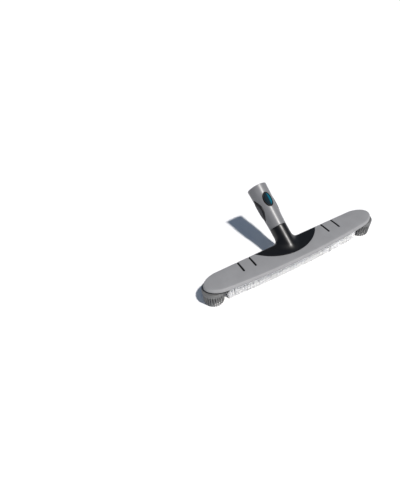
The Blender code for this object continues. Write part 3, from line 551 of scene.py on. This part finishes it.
def make_socket(material):
    corners = [
        (SOCKET_RIM_RADIUS, SOCKET_LENGTH, True), (NECK_RADIUS, GAP, True),
        (SPIGOT_RADIUS + GAP, GAP, False), (SPIGOT_RADIUS + GAP, WEB_Z, False),
        (SOCKET_SCREW_HOLE, WEB_Z, False), (SOCKET_SCREW_HOLE, WEB_TOP, False),
        (LOWER_BORE_RADIUS, WEB_TOP, False), (LOWER_BORE_RADIUS, POLE_STOP, False),
        (SOCKET_BORE_RADIUS, POLE_STOP, False), (SOCKET_BORE_RADIUS, SOCKET_LENGTH, True),
    ]
    profile = rounded_profile(corners, SOCKET_EDGE_RADIUS)

    def body(bm):
        loft(bm, [circle(r, z) for r, z in profile], around=True)

    def window(bm, side):
        def outline(grow):
            return pointed_oval(ROCKER_CENTRE, ROCKER_LENGTH + 2 * WINDOW_END_GAP + 2 * grow,
                                ROCKER_HALF_WIDTH + WINDOW_SIDE_GAP + grow)
        rings = [[(side * LOWER_BORE_RADIUS / 3, y, z) for y, z in outline(0.0)]]
        levels = [(LIP * grow, LIP * proud) for grow, proud in WINDOW_ROUNDING]
        levels += [(WINDOW_OPENING, GAP), (WINDOW_OPENING, CUT_PAST)]
        for grow, proud in levels:
            rings.append([on_side(side, p, proud) for p in outline(grow)])
        loft(bm, rings)

    def recess(bm):
        rings = []
        for grow, proud in ((GAP, -BADGE_DEPTH - GAP), (GAP, -GAP / 2), (2 * GAP, GAP), (2 * GAP, CUT_PAST)):
            outline = ellipse(BADGE_CENTRE, BADGE_LENGTH + 2 * grow, BADGE_WIDTH + 2 * grow)
            rings.append([on_front(p, proud) for p in outline])
        loft(bm, rings)

    def pin_holes(bm):
        for side in (-1, 1):
            loft(bm, pin_rings(side, TRUNNION_RADIUS + GAP, TRUNNION_REACH + GAP))

    socket = add_object("socket_shell", mesh_from("socket_shell", body), material, HANDLE)
    shapes = (("window_left", lambda bm: window(bm, -1)), ("window_right", lambda bm: window(bm, 1)),
              ("badge_recess", recess), ("pin_holes", pin_holes))
    cut(socket, [add_object(name, mesh_from(name, shape), None, HANDLE) for name, shape in shapes])
    even_normals(socket)
    stand_for(socket, "brush", "socket_grey", "pole_socket")


def pin_rings(side, radius, reach):
    """Rings of a rocker's cross pin, along the handle's own Y axis."""
    return [[(side * ROCKER_PIVOT_X + radius * math.cos(a), y, ROCKER_PIVOT + radius * math.sin(a))
             for a in full_turn(20)] for y in (-reach, reach)]


# ---------------------------------------------------------------- badge
def make_badge(bezel_material, insert_material):
    def oval(inset, proud):
        outline = ellipse(BADGE_CENTRE, BADGE_LENGTH - 2 * inset, BADGE_WIDTH - 2 * inset)
        return [on_front(p, proud) for p in outline]

    def bezel(bm):
        outer = [(LIP * (1 - math.cos(a)), BADGE_PROUD - LIP * (1 - math.sin(a))) for a in quarter_turn(4)]
        inner = [(BADGE_RIM - LIP / 2 * (1 - math.sin(a)), BADGE_PROUD - LIP / 2 * (1 - math.cos(a)))
                 for a in quarter_turn(3)]
        levels = [(0.0, -BADGE_DEPTH)] + outer + inner + [(BADGE_RIM, 0.0)]
        loft(bm, [oval(inset, proud) for inset, proud in levels])

    def insert(bm):
        levels = [(BADGE_RIM + GAP, GAP / 2)]
        for t in arc(0, 1, 8):
            inset = BADGE_RIM + GAP + t * (BADGE_WIDTH / 2 - BADGE_RIM - GAP - GAP)
            levels.append((inset, BADGE_PROUD - GAP + INSERT_DOME * math.sqrt(1 - (1 - t) ** 2)))
        loft(bm, [oval(inset, proud) for inset, proud in levels])

    stand_for(add_object("badge_frame", mesh_from("badge_frame", bezel), bezel_material, HANDLE),
              "brush", "black_gloss", "badge_bezel")
    stand_for(add_object("badge_face", mesh_from("badge_face", insert), insert_material, HANDLE),
              "brush", "badge_teal", "badge_insert")


# ---------------------------------------------------------------- rockers and grips
def make_rocker(side, word, rocker_material, grip_material):
    inner_radius = SOCKET_BORE_RADIUS + GAP

    def rocker_outline(grow):
        return pointed_oval(ROCKER_CENTRE, ROCKER_LENGTH + 2 * grow, ROCKER_HALF_WIDTH + grow)

    def grip_outline(grow):
        return pointed_oval(GRIP_CENTRE, GRIP_LENGTH + 2 * grow, GRIP_HALF_WIDTH + grow)

    def lever(bm):
        rings = [[(side * math.sqrt(inner_radius ** 2 - y ** 2), y, z) for y, z in rocker_outline(0.0)]]
        for a in quarter_turn(5):
            outline = rocker_outline(-ROCKER_EDGE_RADIUS * (1 - math.cos(a)))
            proud = ROCKER_PROUD - ROCKER_EDGE_RADIUS * (1 - math.sin(a))
            rings.append([on_side(side, p, proud) for p in outline])
        for grow, above in GRIP_SEAT:
            rings.append([on_side(side, p, ROCKER_PROUD + above) for p in grip_outline(grow)])
        loft(bm, rings)

    def peg(bm):
        tip = SOCKET_BORE_RADIUS - PEG_REACH
        levels = [(PEG_RADIUS * (PEG_TIP_SHARE + (1 - PEG_TIP_SHARE) * math.sin(a)),
                   tip + PEG_REACH * PEG_TIP_RUN * (1 - math.cos(a))) for a in quarter_turn(5)[1:]]
        levels.append((PEG_RADIUS, inner_radius + PEG_REACH / 2))
        loft(bm, [[(side * x, radius * math.cos(a), PEG_ALONG + radius * math.sin(a)) for a in full_turn(32)]
                  for radius, x in levels])

    def whole(bm):
        lever(bm)
        peg(bm)
        loft(bm, pin_rings(side, TRUNNION_RADIUS, TRUNNION_REACH))

    def grip(bm):
        stations = int(GRIP_LENGTH / RIDGE_PITCH * RIDGE_STATIONS)
        crown = ROCKER_PROUD + GRIP_PROUD
        base = ROCKER_PROUD - GRIP_DEPTH + GAP
        rings = []
        for i in range(1, stations):
            along = GRIP_CENTRE - GRIP_LENGTH / 2 + GRIP_LENGTH * i / stations
            share = (along - GRIP_CENTRE) / (GRIP_LENGTH / 2)
            half = GRIP_HALF_WIDTH * (1 - share ** 2)
            flank = min(1.0, half / GRIP_HALF_WIDTH * RIDGE_FLANK)
            ridge = RIDGE_HEIGHT * flank * abs(math.sin(math.pi * along / RIDGE_PITCH)) ** RIDGE_BLUNTNESS
            ring = [(-half, base)]
            for t in arc(-1, 1, 14):
                rise = ridge * (1 - abs(t) ** RIDGE_SIDE_FADE) - GRIP_PROUD * abs(t) ** GRIP_SIDE_FALL
                ring.append((half * t * GRIP_CROWN_SHARE, crown - RIDGE_HEIGHT + rise))
            ring.append((half, base))
            rings.append([on_side(side, (y, along), proud) for y, proud in ring])
        loft(bm, rings)

    lever_piece = add_object(f"lever_{word}", mesh_from(f"lever_{word}", whole), rocker_material, HANDLE)
    stand_for(lever_piece, f"rocker_{word}", "rocker_black", f"rocker_{word}")
    grip_piece = add_object(f"grip_pad_{word}", mesh_from(f"grip_pad_{word}", grip), grip_material, HANDLE,
                            smooth_angle=50)
    stand_for(grip_piece, f"rocker_{word}", "grip_rubber", f"grip_{word}")


# ---------------------------------------------------------------- bristles
def filament_rings(rng, root, splay_from, lean):
    """Rings of one nylon filament that leaves its tuft's hole and bows out slightly to its tip."""
    tip = (root - splay_from) * TUFT_SPLAY + splay_from + lean
    tip += Vector((rng.gauss(0, TIP_WANDER), rng.gauss(0, TIP_WANDER)))
    bow = Vector((rng.gauss(0, FILAMENT_BOW), rng.gauss(0, FILAMENT_BOW)))
    tip_z = rng.random() * TIP_SCATTER
    turn = rng.random() * math.pi / 2
    middle_z = BLOCK_Z * (1 - FILAMENT_MIDDLE)
    rings = []
    for share, z in ((0.0, FILAMENT_ROOT_Z), (FILAMENT_MIDDLE, middle_z), (1.0, tip_z)):
        bowed = 4 * share * (1 - share)         # 1 half way along, 0 at both ends
        centre = root.lerp(tip, share ** FILAMENT_BEND) + bow * bowed
        rings.append([(centre.x + FILAMENT_RADIUS * math.cos(turn + a),
                       centre.y + FILAMENT_RADIUS * math.sin(turn + a), z)
                      for a in full_turn(FILAMENT_SIDES)])
    return rings


def make_row(number, share, material):
    """One bristle row: tufts of filaments that open towards their tips."""
    rng = random.Random(ROW_SEED + number)
    points = []
    faces = []
    golden_angle = math.pi * (3 - math.sqrt(5))
    for tuft in range(TUFTS_PER_ROW):
        x = TUFT_PITCH * (tuft - (TUFTS_PER_ROW - 1) / 2)
        centre = Vector((x, across(x, share)))
        lean = Vector((rng.gauss(0, TUFT_LEAN), rng.gauss(0, TUFT_LEAN)))
        for i in range(FILAMENTS):
            radius = (TUFT_RADIUS - FILAMENT_RADIUS) * math.sqrt((i + 0.5) / FILAMENTS)
            angle = i * golden_angle + tuft
            root = centre + Vector((radius * TUFT_HALF_LENGTH / TUFT_RADIUS * math.cos(angle),
                                    radius * math.sin(angle)))
            start = len(points)
            for ring in filament_rings(rng, root, centre, lean):
                points.extend(ring)
            middle = start + FILAMENT_SIDES
            end = middle + FILAMENT_SIDES
            for low in (start, middle):
                for j in range(FILAMENT_SIDES):
                    k = (j + 1) % FILAMENT_SIDES
                    faces.append((low + j, low + k, low + FILAMENT_SIDES + k, low + FILAMENT_SIDES + j))
            faces.append(tuple(reversed(range(start, middle))))
            faces.append(tuple(range(end, end + FILAMENT_SIDES)))
    mesh = bpy.data.meshes.new(f"bristles_{number}")
    mesh.from_pydata(points, [], faces)
    mesh.flip_normals()
    row = add_object(f"bristles_{number}", mesh, material, smooth_angle=80)
    stand_for(row, "brush", "bristle_ivory", f"bristle_row_{number}")


# ---------------------------------------------------------------- corner boots
def make_boot(side, word, material):
    outer_count = FINGER_RINGS[0][1]

    def fluted(radius, z, depth):
        """A ring whose radius dips between the outer fingers."""
        ring = []
        for a in full_turn(outer_count * FLUTE_POINTS):
            r = radius - depth * (0.5 - 0.5 * math.cos(outer_count * a)) ** 2
            ring.append((r * math.cos(a), r * math.sin(a), z))
        return ring

    def band(bm):
        top = BOOT_TOP_Z
        inner_radius = BOOT_RADIUS - BOOT_WALL
        levels = [(BOOT_RADIUS - BOOT_EDGE_RADIUS * (1 - math.sin(a)),
                   top - BOOT_EDGE_RADIUS * (1 - math.cos(a)), 0.0) for a in quarter_turn(5)]
        levels += [(BOOT_RADIUS, top - BOOT_BAND * down, FLUTE_DEPTH * depth) for down, depth in FLUTE_LEVELS]
        levels += [(inner_radius, top - BOOT_BAND, 0.0), (inner_radius, top - BOOT_WEB, 0.0)]
        loft(bm, [fluted(*level) for level in levels])

    def finger(bm, radius, angle):
        outward = Vector((math.cos(angle), math.sin(angle), 0))
        sideways = Vector((-math.sin(angle), math.cos(angle), 0))
        top = BOOT_TOP_Z - BOOT_WEB
        rings = []
        for share, swell in FINGER_LEVELS:
            scale = (FINGER_TAPER + (1 - FINGER_TAPER) * share) * swell
            reach = radius * (1 - FINGER_LEAN * (1 - share) ** FINGER_LEAN_BEND)
            centre = outward * reach + Vector((0, 0, top * share))
            ring = []
            for a in full_turn(FINGER_SIDES):
                wide = math.copysign(abs(math.cos(a)) ** FINGER_SQUARENESS, math.cos(a))
                deep = math.copysign(abs(math.sin(a)) ** FINGER_SQUARENESS, math.sin(a))
                ring.append(centre + sideways * (FINGER_WIDTH / 2 * scale * wide)
                            + outward * (FINGER_DEPTH / 2 * scale * deep))
            rings.append(ring)
        loft(bm, rings)

    def whole(bm):
        band(bm)
        for radius, count in FINGER_RINGS:
            for i in range(count):
                finger(bm, radius, 2 * math.pi * i / count)

    place = Matrix.Translation((side * BOOT_X, BOOT_Y, 0))
    boot = add_object(f"finger_boot_{word}", mesh_from(f"finger_boot_{word}", whole), material, place,
                      smooth_angle=45)
    stand_for(boot, "brush", "boot_rubber", f"corner_boot_{word}")


# ---------------------------------------------------------------- materials
# Scales of the noises are in waves to a metre, colours are linear.
NOISE_LOW = 0.3                 # nearly all of a noise lies between these two
NOISE_HIGH = 0.7
DRIFT_SCALE = 38.0              # slow drift of a moulding's colour
GLOSS_SCALE = 120.0             # and of its gloss
GLOSS_SPREAD = 0.08
MOULDED_BUMP = 0.25

BADGE_MEAN = (0.004, 0.08, 0.12)
BADGE_DARK = (0.004, 0.012, 0.018)
BADGE_TEAL = (0.002, 0.09, 0.135)
BADGE_TEAL_START = 0.02         # right of the badge's middle, in badge widths
BADGE_TEAL_FULL = 0.18
BADGE_ROUGHNESS = 0.55
BADGE_SPECULAR = 0.05

BRISTLE_MEAN = (0.90, 0.89, 0.87)
BRISTLE_DARK = (0.89, 0.885, 0.87)
BRISTLE_LIGHT = (0.97, 0.965, 0.95)
BRISTLE_ROUGHNESS = 0.45
BRISTLE_DEPTH = (0.004, 0.004, 0.0035)      # how far light spreads inside the nylon
BRISTLE_SUBSURFACE = 0.7
ALONG_FILAMENT = (1.0, 1.0, 0.1)            # streaks that run up and down

RUBBER_SPREAD = 0.15
RUBBER_DRIFT_SCALE = 260.0
RUBBER_GRAIN_SCALE = 2600.0

STEEL_COLOUR = (0.60, 0.60, 0.62)
STEEL_GLOSS = (0.22, 0.42)
STEEL_BRUSHING = (1.0, 1.0, 6.0)

FLOOR_MEAN = (0.93, 0.93, 0.93)
FLOOR_DARK = (0.92, 0.92, 0.92)
FLOOR_LIGHT = (0.94, 0.94, 0.94)
FLOOR_ROUGHNESS = 0.9


def new_material(name, colour, roughness, metallic=0.0):
    material = bpy.data.materials.new(name)
    material.use_nodes = True
    shader = material.node_tree.nodes["Principled BSDF"]
    shader.inputs["Base Color"].default_value = (*colour, 1.0)
    shader.inputs["Roughness"].default_value = roughness
    shader.inputs["Metallic"].default_value = metallic
    return material, material.node_tree, shader


def noise_value(tree, scale, detail=3.0, stretch=(1.0, 1.0, 1.0)):
    """Noise over the object's own coordinates."""
    coordinates = tree.nodes.new("ShaderNodeTexCoord")
    mapping = tree.nodes.new("ShaderNodeMapping")
    mapping.inputs["Scale"].default_value = stretch
    noise = tree.nodes.new("ShaderNodeTexNoise")
    noise.inputs["Scale"].default_value = scale
    noise.inputs["Detail"].default_value = detail
    tree.links.new(coordinates.outputs["Object"], mapping.inputs["Vector"])
    tree.links.new(mapping.outputs["Vector"], noise.inputs["Vector"])
    return noise.outputs["Fac"]


def spread(tree, value, low, high):
    """Map a noise value to a range."""
    remap = tree.nodes.new("ShaderNodeMapRange")
    remap.inputs["From Min"].default_value = NOISE_LOW
    remap.inputs["From Max"].default_value = NOISE_HIGH
    remap.inputs["To Min"].default_value = low
    remap.inputs["To Max"].default_value = high
    tree.links.new(value, remap.inputs["Value"])
    return remap.outputs["Result"]


def tint(tree, shader, factor, dark, light):
    """Base colour between two colours."""
    mix = tree.nodes.new("ShaderNodeMix")
    mix.data_type = 'RGBA'
    mix.inputs["A"].default_value = (*dark, 1.0)
    mix.inputs["B"].default_value = (*light, 1.0)
    tree.links.new(factor, mix.inputs["Factor"])
    tree.links.new(mix.outputs["Result"], shader.inputs["Base Color"])


def shades(colour, share):
    """A colour made darker and lighter by a share."""
    return [c * (1 - share) for c in colour], [c * (1 + share) for c in colour]


def bump(tree, shader, height, strength, distance):
    node = tree.nodes.new("ShaderNodeBump")
    node.inputs["Strength"].default_value = strength
    node.inputs["Distance"].default_value = distance
    tree.links.new(height, node.inputs["Height"])
    tree.links.new(node.outputs["Normal"], shader.inputs["Normal"])


def moulded(name, colour, variation, roughness, grain, grain_depth, specular=0.5):
    """Moulded plastic: slow colour drift, uneven gloss and a fine grain."""
    material, tree, shader = new_material(name, colour, roughness)
    shader.inputs["Specular IOR Level"].default_value = specular
    tint(tree, shader, spread(tree, noise_value(tree, DRIFT_SCALE), 0.0, 1.0), *shades(colour, variation))
    gloss = spread(tree, noise_value(tree, GLOSS_SCALE), roughness * (1 - GLOSS_SPREAD),
                   roughness * (1 + GLOSS_SPREAD))
    tree.links.new(gloss, shader.inputs["Roughness"])
    bump(tree, shader, noise_value(tree, grain, detail=2.0), MOULDED_BUMP, grain_depth)
    return material


def badge_material():
    """Satin face, teal on its right and nearly black on its left."""
    material, tree, shader = new_material("badge_teal", BADGE_MEAN, BADGE_ROUGHNESS)
    shader.inputs["Specular IOR Level"].default_value = BADGE_SPECULAR
    coordinates = tree.nodes.new("ShaderNodeTexCoord")
    split = tree.nodes.new("ShaderNodeSeparateXYZ")
    tree.links.new(coordinates.outputs["Object"], split.inputs["Vector"])
    remap = tree.nodes.new("ShaderNodeMapRange")
    remap.inputs["From Min"].default_value = BADGE_WIDTH * BADGE_TEAL_START
    remap.inputs["From Max"].default_value = BADGE_WIDTH * BADGE_TEAL_FULL
    tree.links.new(split.outputs["X"], remap.inputs["Value"])
    tint(tree, shader, remap.outputs["Result"], BADGE_DARK, BADGE_TEAL)
    bump(tree, shader, noise_value(tree, 700.0), strength=0.1, distance=0.00005)
    return material


def bristle_material():
    """Ivory nylon that lets light in, each filament a little lighter or darker."""
    material, tree, shader = new_material("bristle_ivory", BRISTLE_MEAN, BRISTLE_ROUGHNESS)
    filament = tree.nodes.new("ShaderNodeNewGeometry")
    tint(tree, shader, filament.outputs["Random Per Island"], BRISTLE_DARK, BRISTLE_LIGHT)
    shader.inputs["Subsurface Weight"].default_value = BRISTLE_SUBSURFACE
    shader.inputs["Subsurface Radius"].default_value = BRISTLE_DEPTH
    shader.inputs["Subsurface Scale"].default_value = 1.0
    streaks = noise_value(tree, 1500.0, detail=2.0, stretch=ALONG_FILAMENT)
    bump(tree, shader, streaks, strength=0.2, distance=0.00004)
    return material


def rubber(name, colour, roughness):
    """Matt rubber with a coarse grain."""
    material, tree, shader = new_material(name, colour, roughness)
    drift = spread(tree, noise_value(tree, RUBBER_DRIFT_SCALE), 0.0, 1.0)
    tint(tree, shader, drift, *shades(colour, RUBBER_SPREAD))
    bump(tree, shader, noise_value(tree, RUBBER_GRAIN_SCALE), strength=0.35, distance=0.00008)
    return material


def steel():
    """Plain stainless steel with faint brushing."""
    material, tree, shader = new_material("steel", STEEL_COLOUR, roughness=0.30, metallic=1.0)
    gloss = spread(tree, noise_value(tree, 900.0, detail=2.0, stretch=STEEL_BRUSHING), *STEEL_GLOSS)
    tree.links.new(gloss, shader.inputs["Roughness"])
    bump(tree, shader, noise_value(tree, 2200.0), strength=0.15, distance=0.00004)
    return material


def floor_material():
    material, tree, shader = new_material("floor_white", FLOOR_MEAN, FLOOR_ROUGHNESS)
    tint(tree, shader, spread(tree, noise_value(tree, 2.0), 0.0, 1.0), FLOOR_DARK, FLOOR_LIGHT)
    return material


def dress_cad_nodes(block, metal):
    """Give the CAD nodes that stay in view their finish."""
    steel_words = ("screw", "washer", "leaf_spring")
    for name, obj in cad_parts.items():
        if any(word in name for word in steel_words):
            finish = metal
        elif name == "brush_block":
            finish = block
        else:
            continue
        obj.data.materials.clear()
        obj.data.materials.append(finish)


# ---------------------------------------------------------------- floor, lights and camera
FLOOR_CELLS = 8
FLOOR_HALF_WIDTH = 6.0

WHITE = (1.0, 1.0, 1.0)
LIGHT_DISTANCE = 2.0            # only where a light's icon stands, as all three are suns
KEY_TRAVEL = (-0.2373, 0.5001, -1.0)
KEY_STRENGTH = 3.7
KEY_COLOUR = (1.0, 0.97, 0.94)
KEY_ANGLE = math.radians(4)
FRONT_FILL_TRAVEL = (0.15, 1.0, -0.06)
FRONT_FILL_STRENGTH = 1.9
BACK_FILL_TRAVEL = (-0.10, -1.0, -0.05)
BACK_FILL_STRENGTH = 0.8
FILL_ANGLE = math.radians(18)
SKY_COLOUR = (0.52, 0.70, 1.0)  # gives the shadows their blue
SKY_STRENGTH = 0.19
BACKDROP_COLOUR = (0.97, 0.97, 0.98)    # seen behind the floor's edge, and lights nothing

# Fitted to the photo's view.
CAMERA_AT = Vector((-0.3523, -0.3906, 0.5656))
CAMERA_AZIMUTH = math.radians(21.403)
CAMERA_DOWN = math.radians(43.241)
CAMERA_ROLL = math.radians(-7.961)
CAMERA_LENS = 26.457
SENSOR_WIDTH = 36.0


def make_floor():
    bm = bmesh.new()
    bmesh.ops.create_grid(bm, x_segments=FLOOR_CELLS, y_segments=FLOOR_CELLS, size=FLOOR_HALF_WIDTH)
    mesh = bpy.data.meshes.new("studio_floor")
    bm.to_mesh(mesh)
    bm.free()
    add_object("studio_floor", mesh, floor_material())


def add_sun(name, strength, colour, direction, angle):
    """A sun that shines along a direction; a wider angle gives softer shadows."""
    data = bpy.data.lights.new(name, 'SUN')
    data.energy = strength
    data.color = colour
    data.angle = angle
    light = bpy.data.objects.new(name, data)
    bpy.context.scene.collection.objects.link(light)
    travel = Vector(direction).normalized()
    light.rotation_mode = 'QUATERNION'
    light.rotation_quaternion = travel.to_track_quat('-Z', 'Y')
    light.location = -travel * LIGHT_DISTANCE


def make_lights():
    """Three suns, and a world that lights as a weak blue sky but shows the camera a pale backdrop."""
    add_sun("key", KEY_STRENGTH, KEY_COLOUR, KEY_TRAVEL, KEY_ANGLE)
    add_sun("front_fill", FRONT_FILL_STRENGTH, WHITE, FRONT_FILL_TRAVEL, FILL_ANGLE)
    add_sun("back_fill", BACK_FILL_STRENGTH, WHITE, BACK_FILL_TRAVEL, FILL_ANGLE)
    world = bpy.data.worlds.new("studio")
    world.use_nodes = True
    tree = world.node_tree
    sky = tree.nodes["Background"]
    sky.inputs["Color"].default_value = (*SKY_COLOUR, 1.0)
    sky.inputs["Strength"].default_value = SKY_STRENGTH
    backdrop = tree.nodes.new("ShaderNodeBackground")
    backdrop.inputs["Color"].default_value = (*BACKDROP_COLOUR, 1.0)
    rays = tree.nodes.new("ShaderNodeLightPath")
    choose = tree.nodes.new("ShaderNodeMixShader")
    tree.links.new(rays.outputs["Is Camera Ray"], choose.inputs["Fac"])
    tree.links.new(sky.outputs["Background"], choose.inputs[1])
    tree.links.new(backdrop.outputs["Background"], choose.inputs[2])
    tree.links.new(choose.outputs["Shader"], tree.nodes["World Output"].inputs["Surface"])
    bpy.context.scene.world = world
    bpy.context.scene.view_settings.view_transform = 'Standard'


def make_camera():
    data = bpy.data.cameras.new("camera")
    data.lens = CAMERA_LENS
    data.sensor_width = SENSOR_WIDTH
    camera = bpy.data.objects.new("camera", data)
    bpy.context.scene.collection.objects.link(camera)
    ahead = Vector((math.sin(CAMERA_AZIMUTH) * math.cos(CAMERA_DOWN),
                    math.cos(CAMERA_AZIMUTH) * math.cos(CAMERA_DOWN), -math.sin(CAMERA_DOWN)))
    turn = ahead.to_track_quat('-Z', 'Y').to_matrix().to_4x4()
    camera.matrix_world = Matrix.Translation(CAMERA_AT) @ turn @ Matrix.Rotation(CAMERA_ROLL, 4, 'Z')
    bpy.context.scene.camera = camera


# ---------------------------------------------------------------- assembly
def build():
    """Everything in the scene."""
    make_camera()
    make_lights()
    make_floor()
    cover_grey = moulded("cover_grey", (0.238, 0.238, 0.243), variation=0.05, roughness=0.60,
                         grain=1600.0, grain_depth=0.00006)
    socket_grey = moulded("socket_grey", (0.155, 0.155, 0.16), variation=0.04, roughness=0.38,
                          grain=900.0, grain_depth=0.00002)
    black_gloss = moulded("black_gloss", (0.004, 0.004, 0.0045), variation=0.10, roughness=0.36,
                          grain=700.0, grain_depth=0.00001, specular=0.4)
    badge_black = moulded("badge_black", (0.004, 0.004, 0.004), variation=0.10, roughness=0.50,
                          grain=700.0, grain_depth=0.00001, specular=0.12)
    block_black = moulded("block_black", (0.003, 0.003, 0.003), variation=0.15, roughness=0.60,
                          grain=1400.0, grain_depth=0.00006, specular=0.2)
    rocker_black = moulded("rocker_black", (0.006, 0.006, 0.0065), variation=0.10, roughness=0.45,
                           grain=1200.0, grain_depth=0.00003, specular=0.3)
    dress_cad_nodes(block_black, steel())
    make_cover(cover_grey)
    make_saddle(black_gloss)
    make_socket(socket_grey)
    make_badge(badge_black, badge_material())
    grip_rubber = rubber("grip_rubber", (0.05, 0.05, 0.055), roughness=0.6)
    boot_rubber = rubber("boot_rubber", (0.115, 0.115, 0.115), roughness=0.6)
    for side, word in ((-1, "left"), (1, "right")):
        make_rocker(side, word, rocker_black, grip_rubber)
        make_boot(side, word, boot_rubber)
    ivory = bristle_material()
    for number in range(1, ROW_COUNT + 1):
        share = ROW_SPREAD * (2 * (number - 1) / (ROW_COUNT - 1) - 1)
        make_row(number, share, ivory)


build()
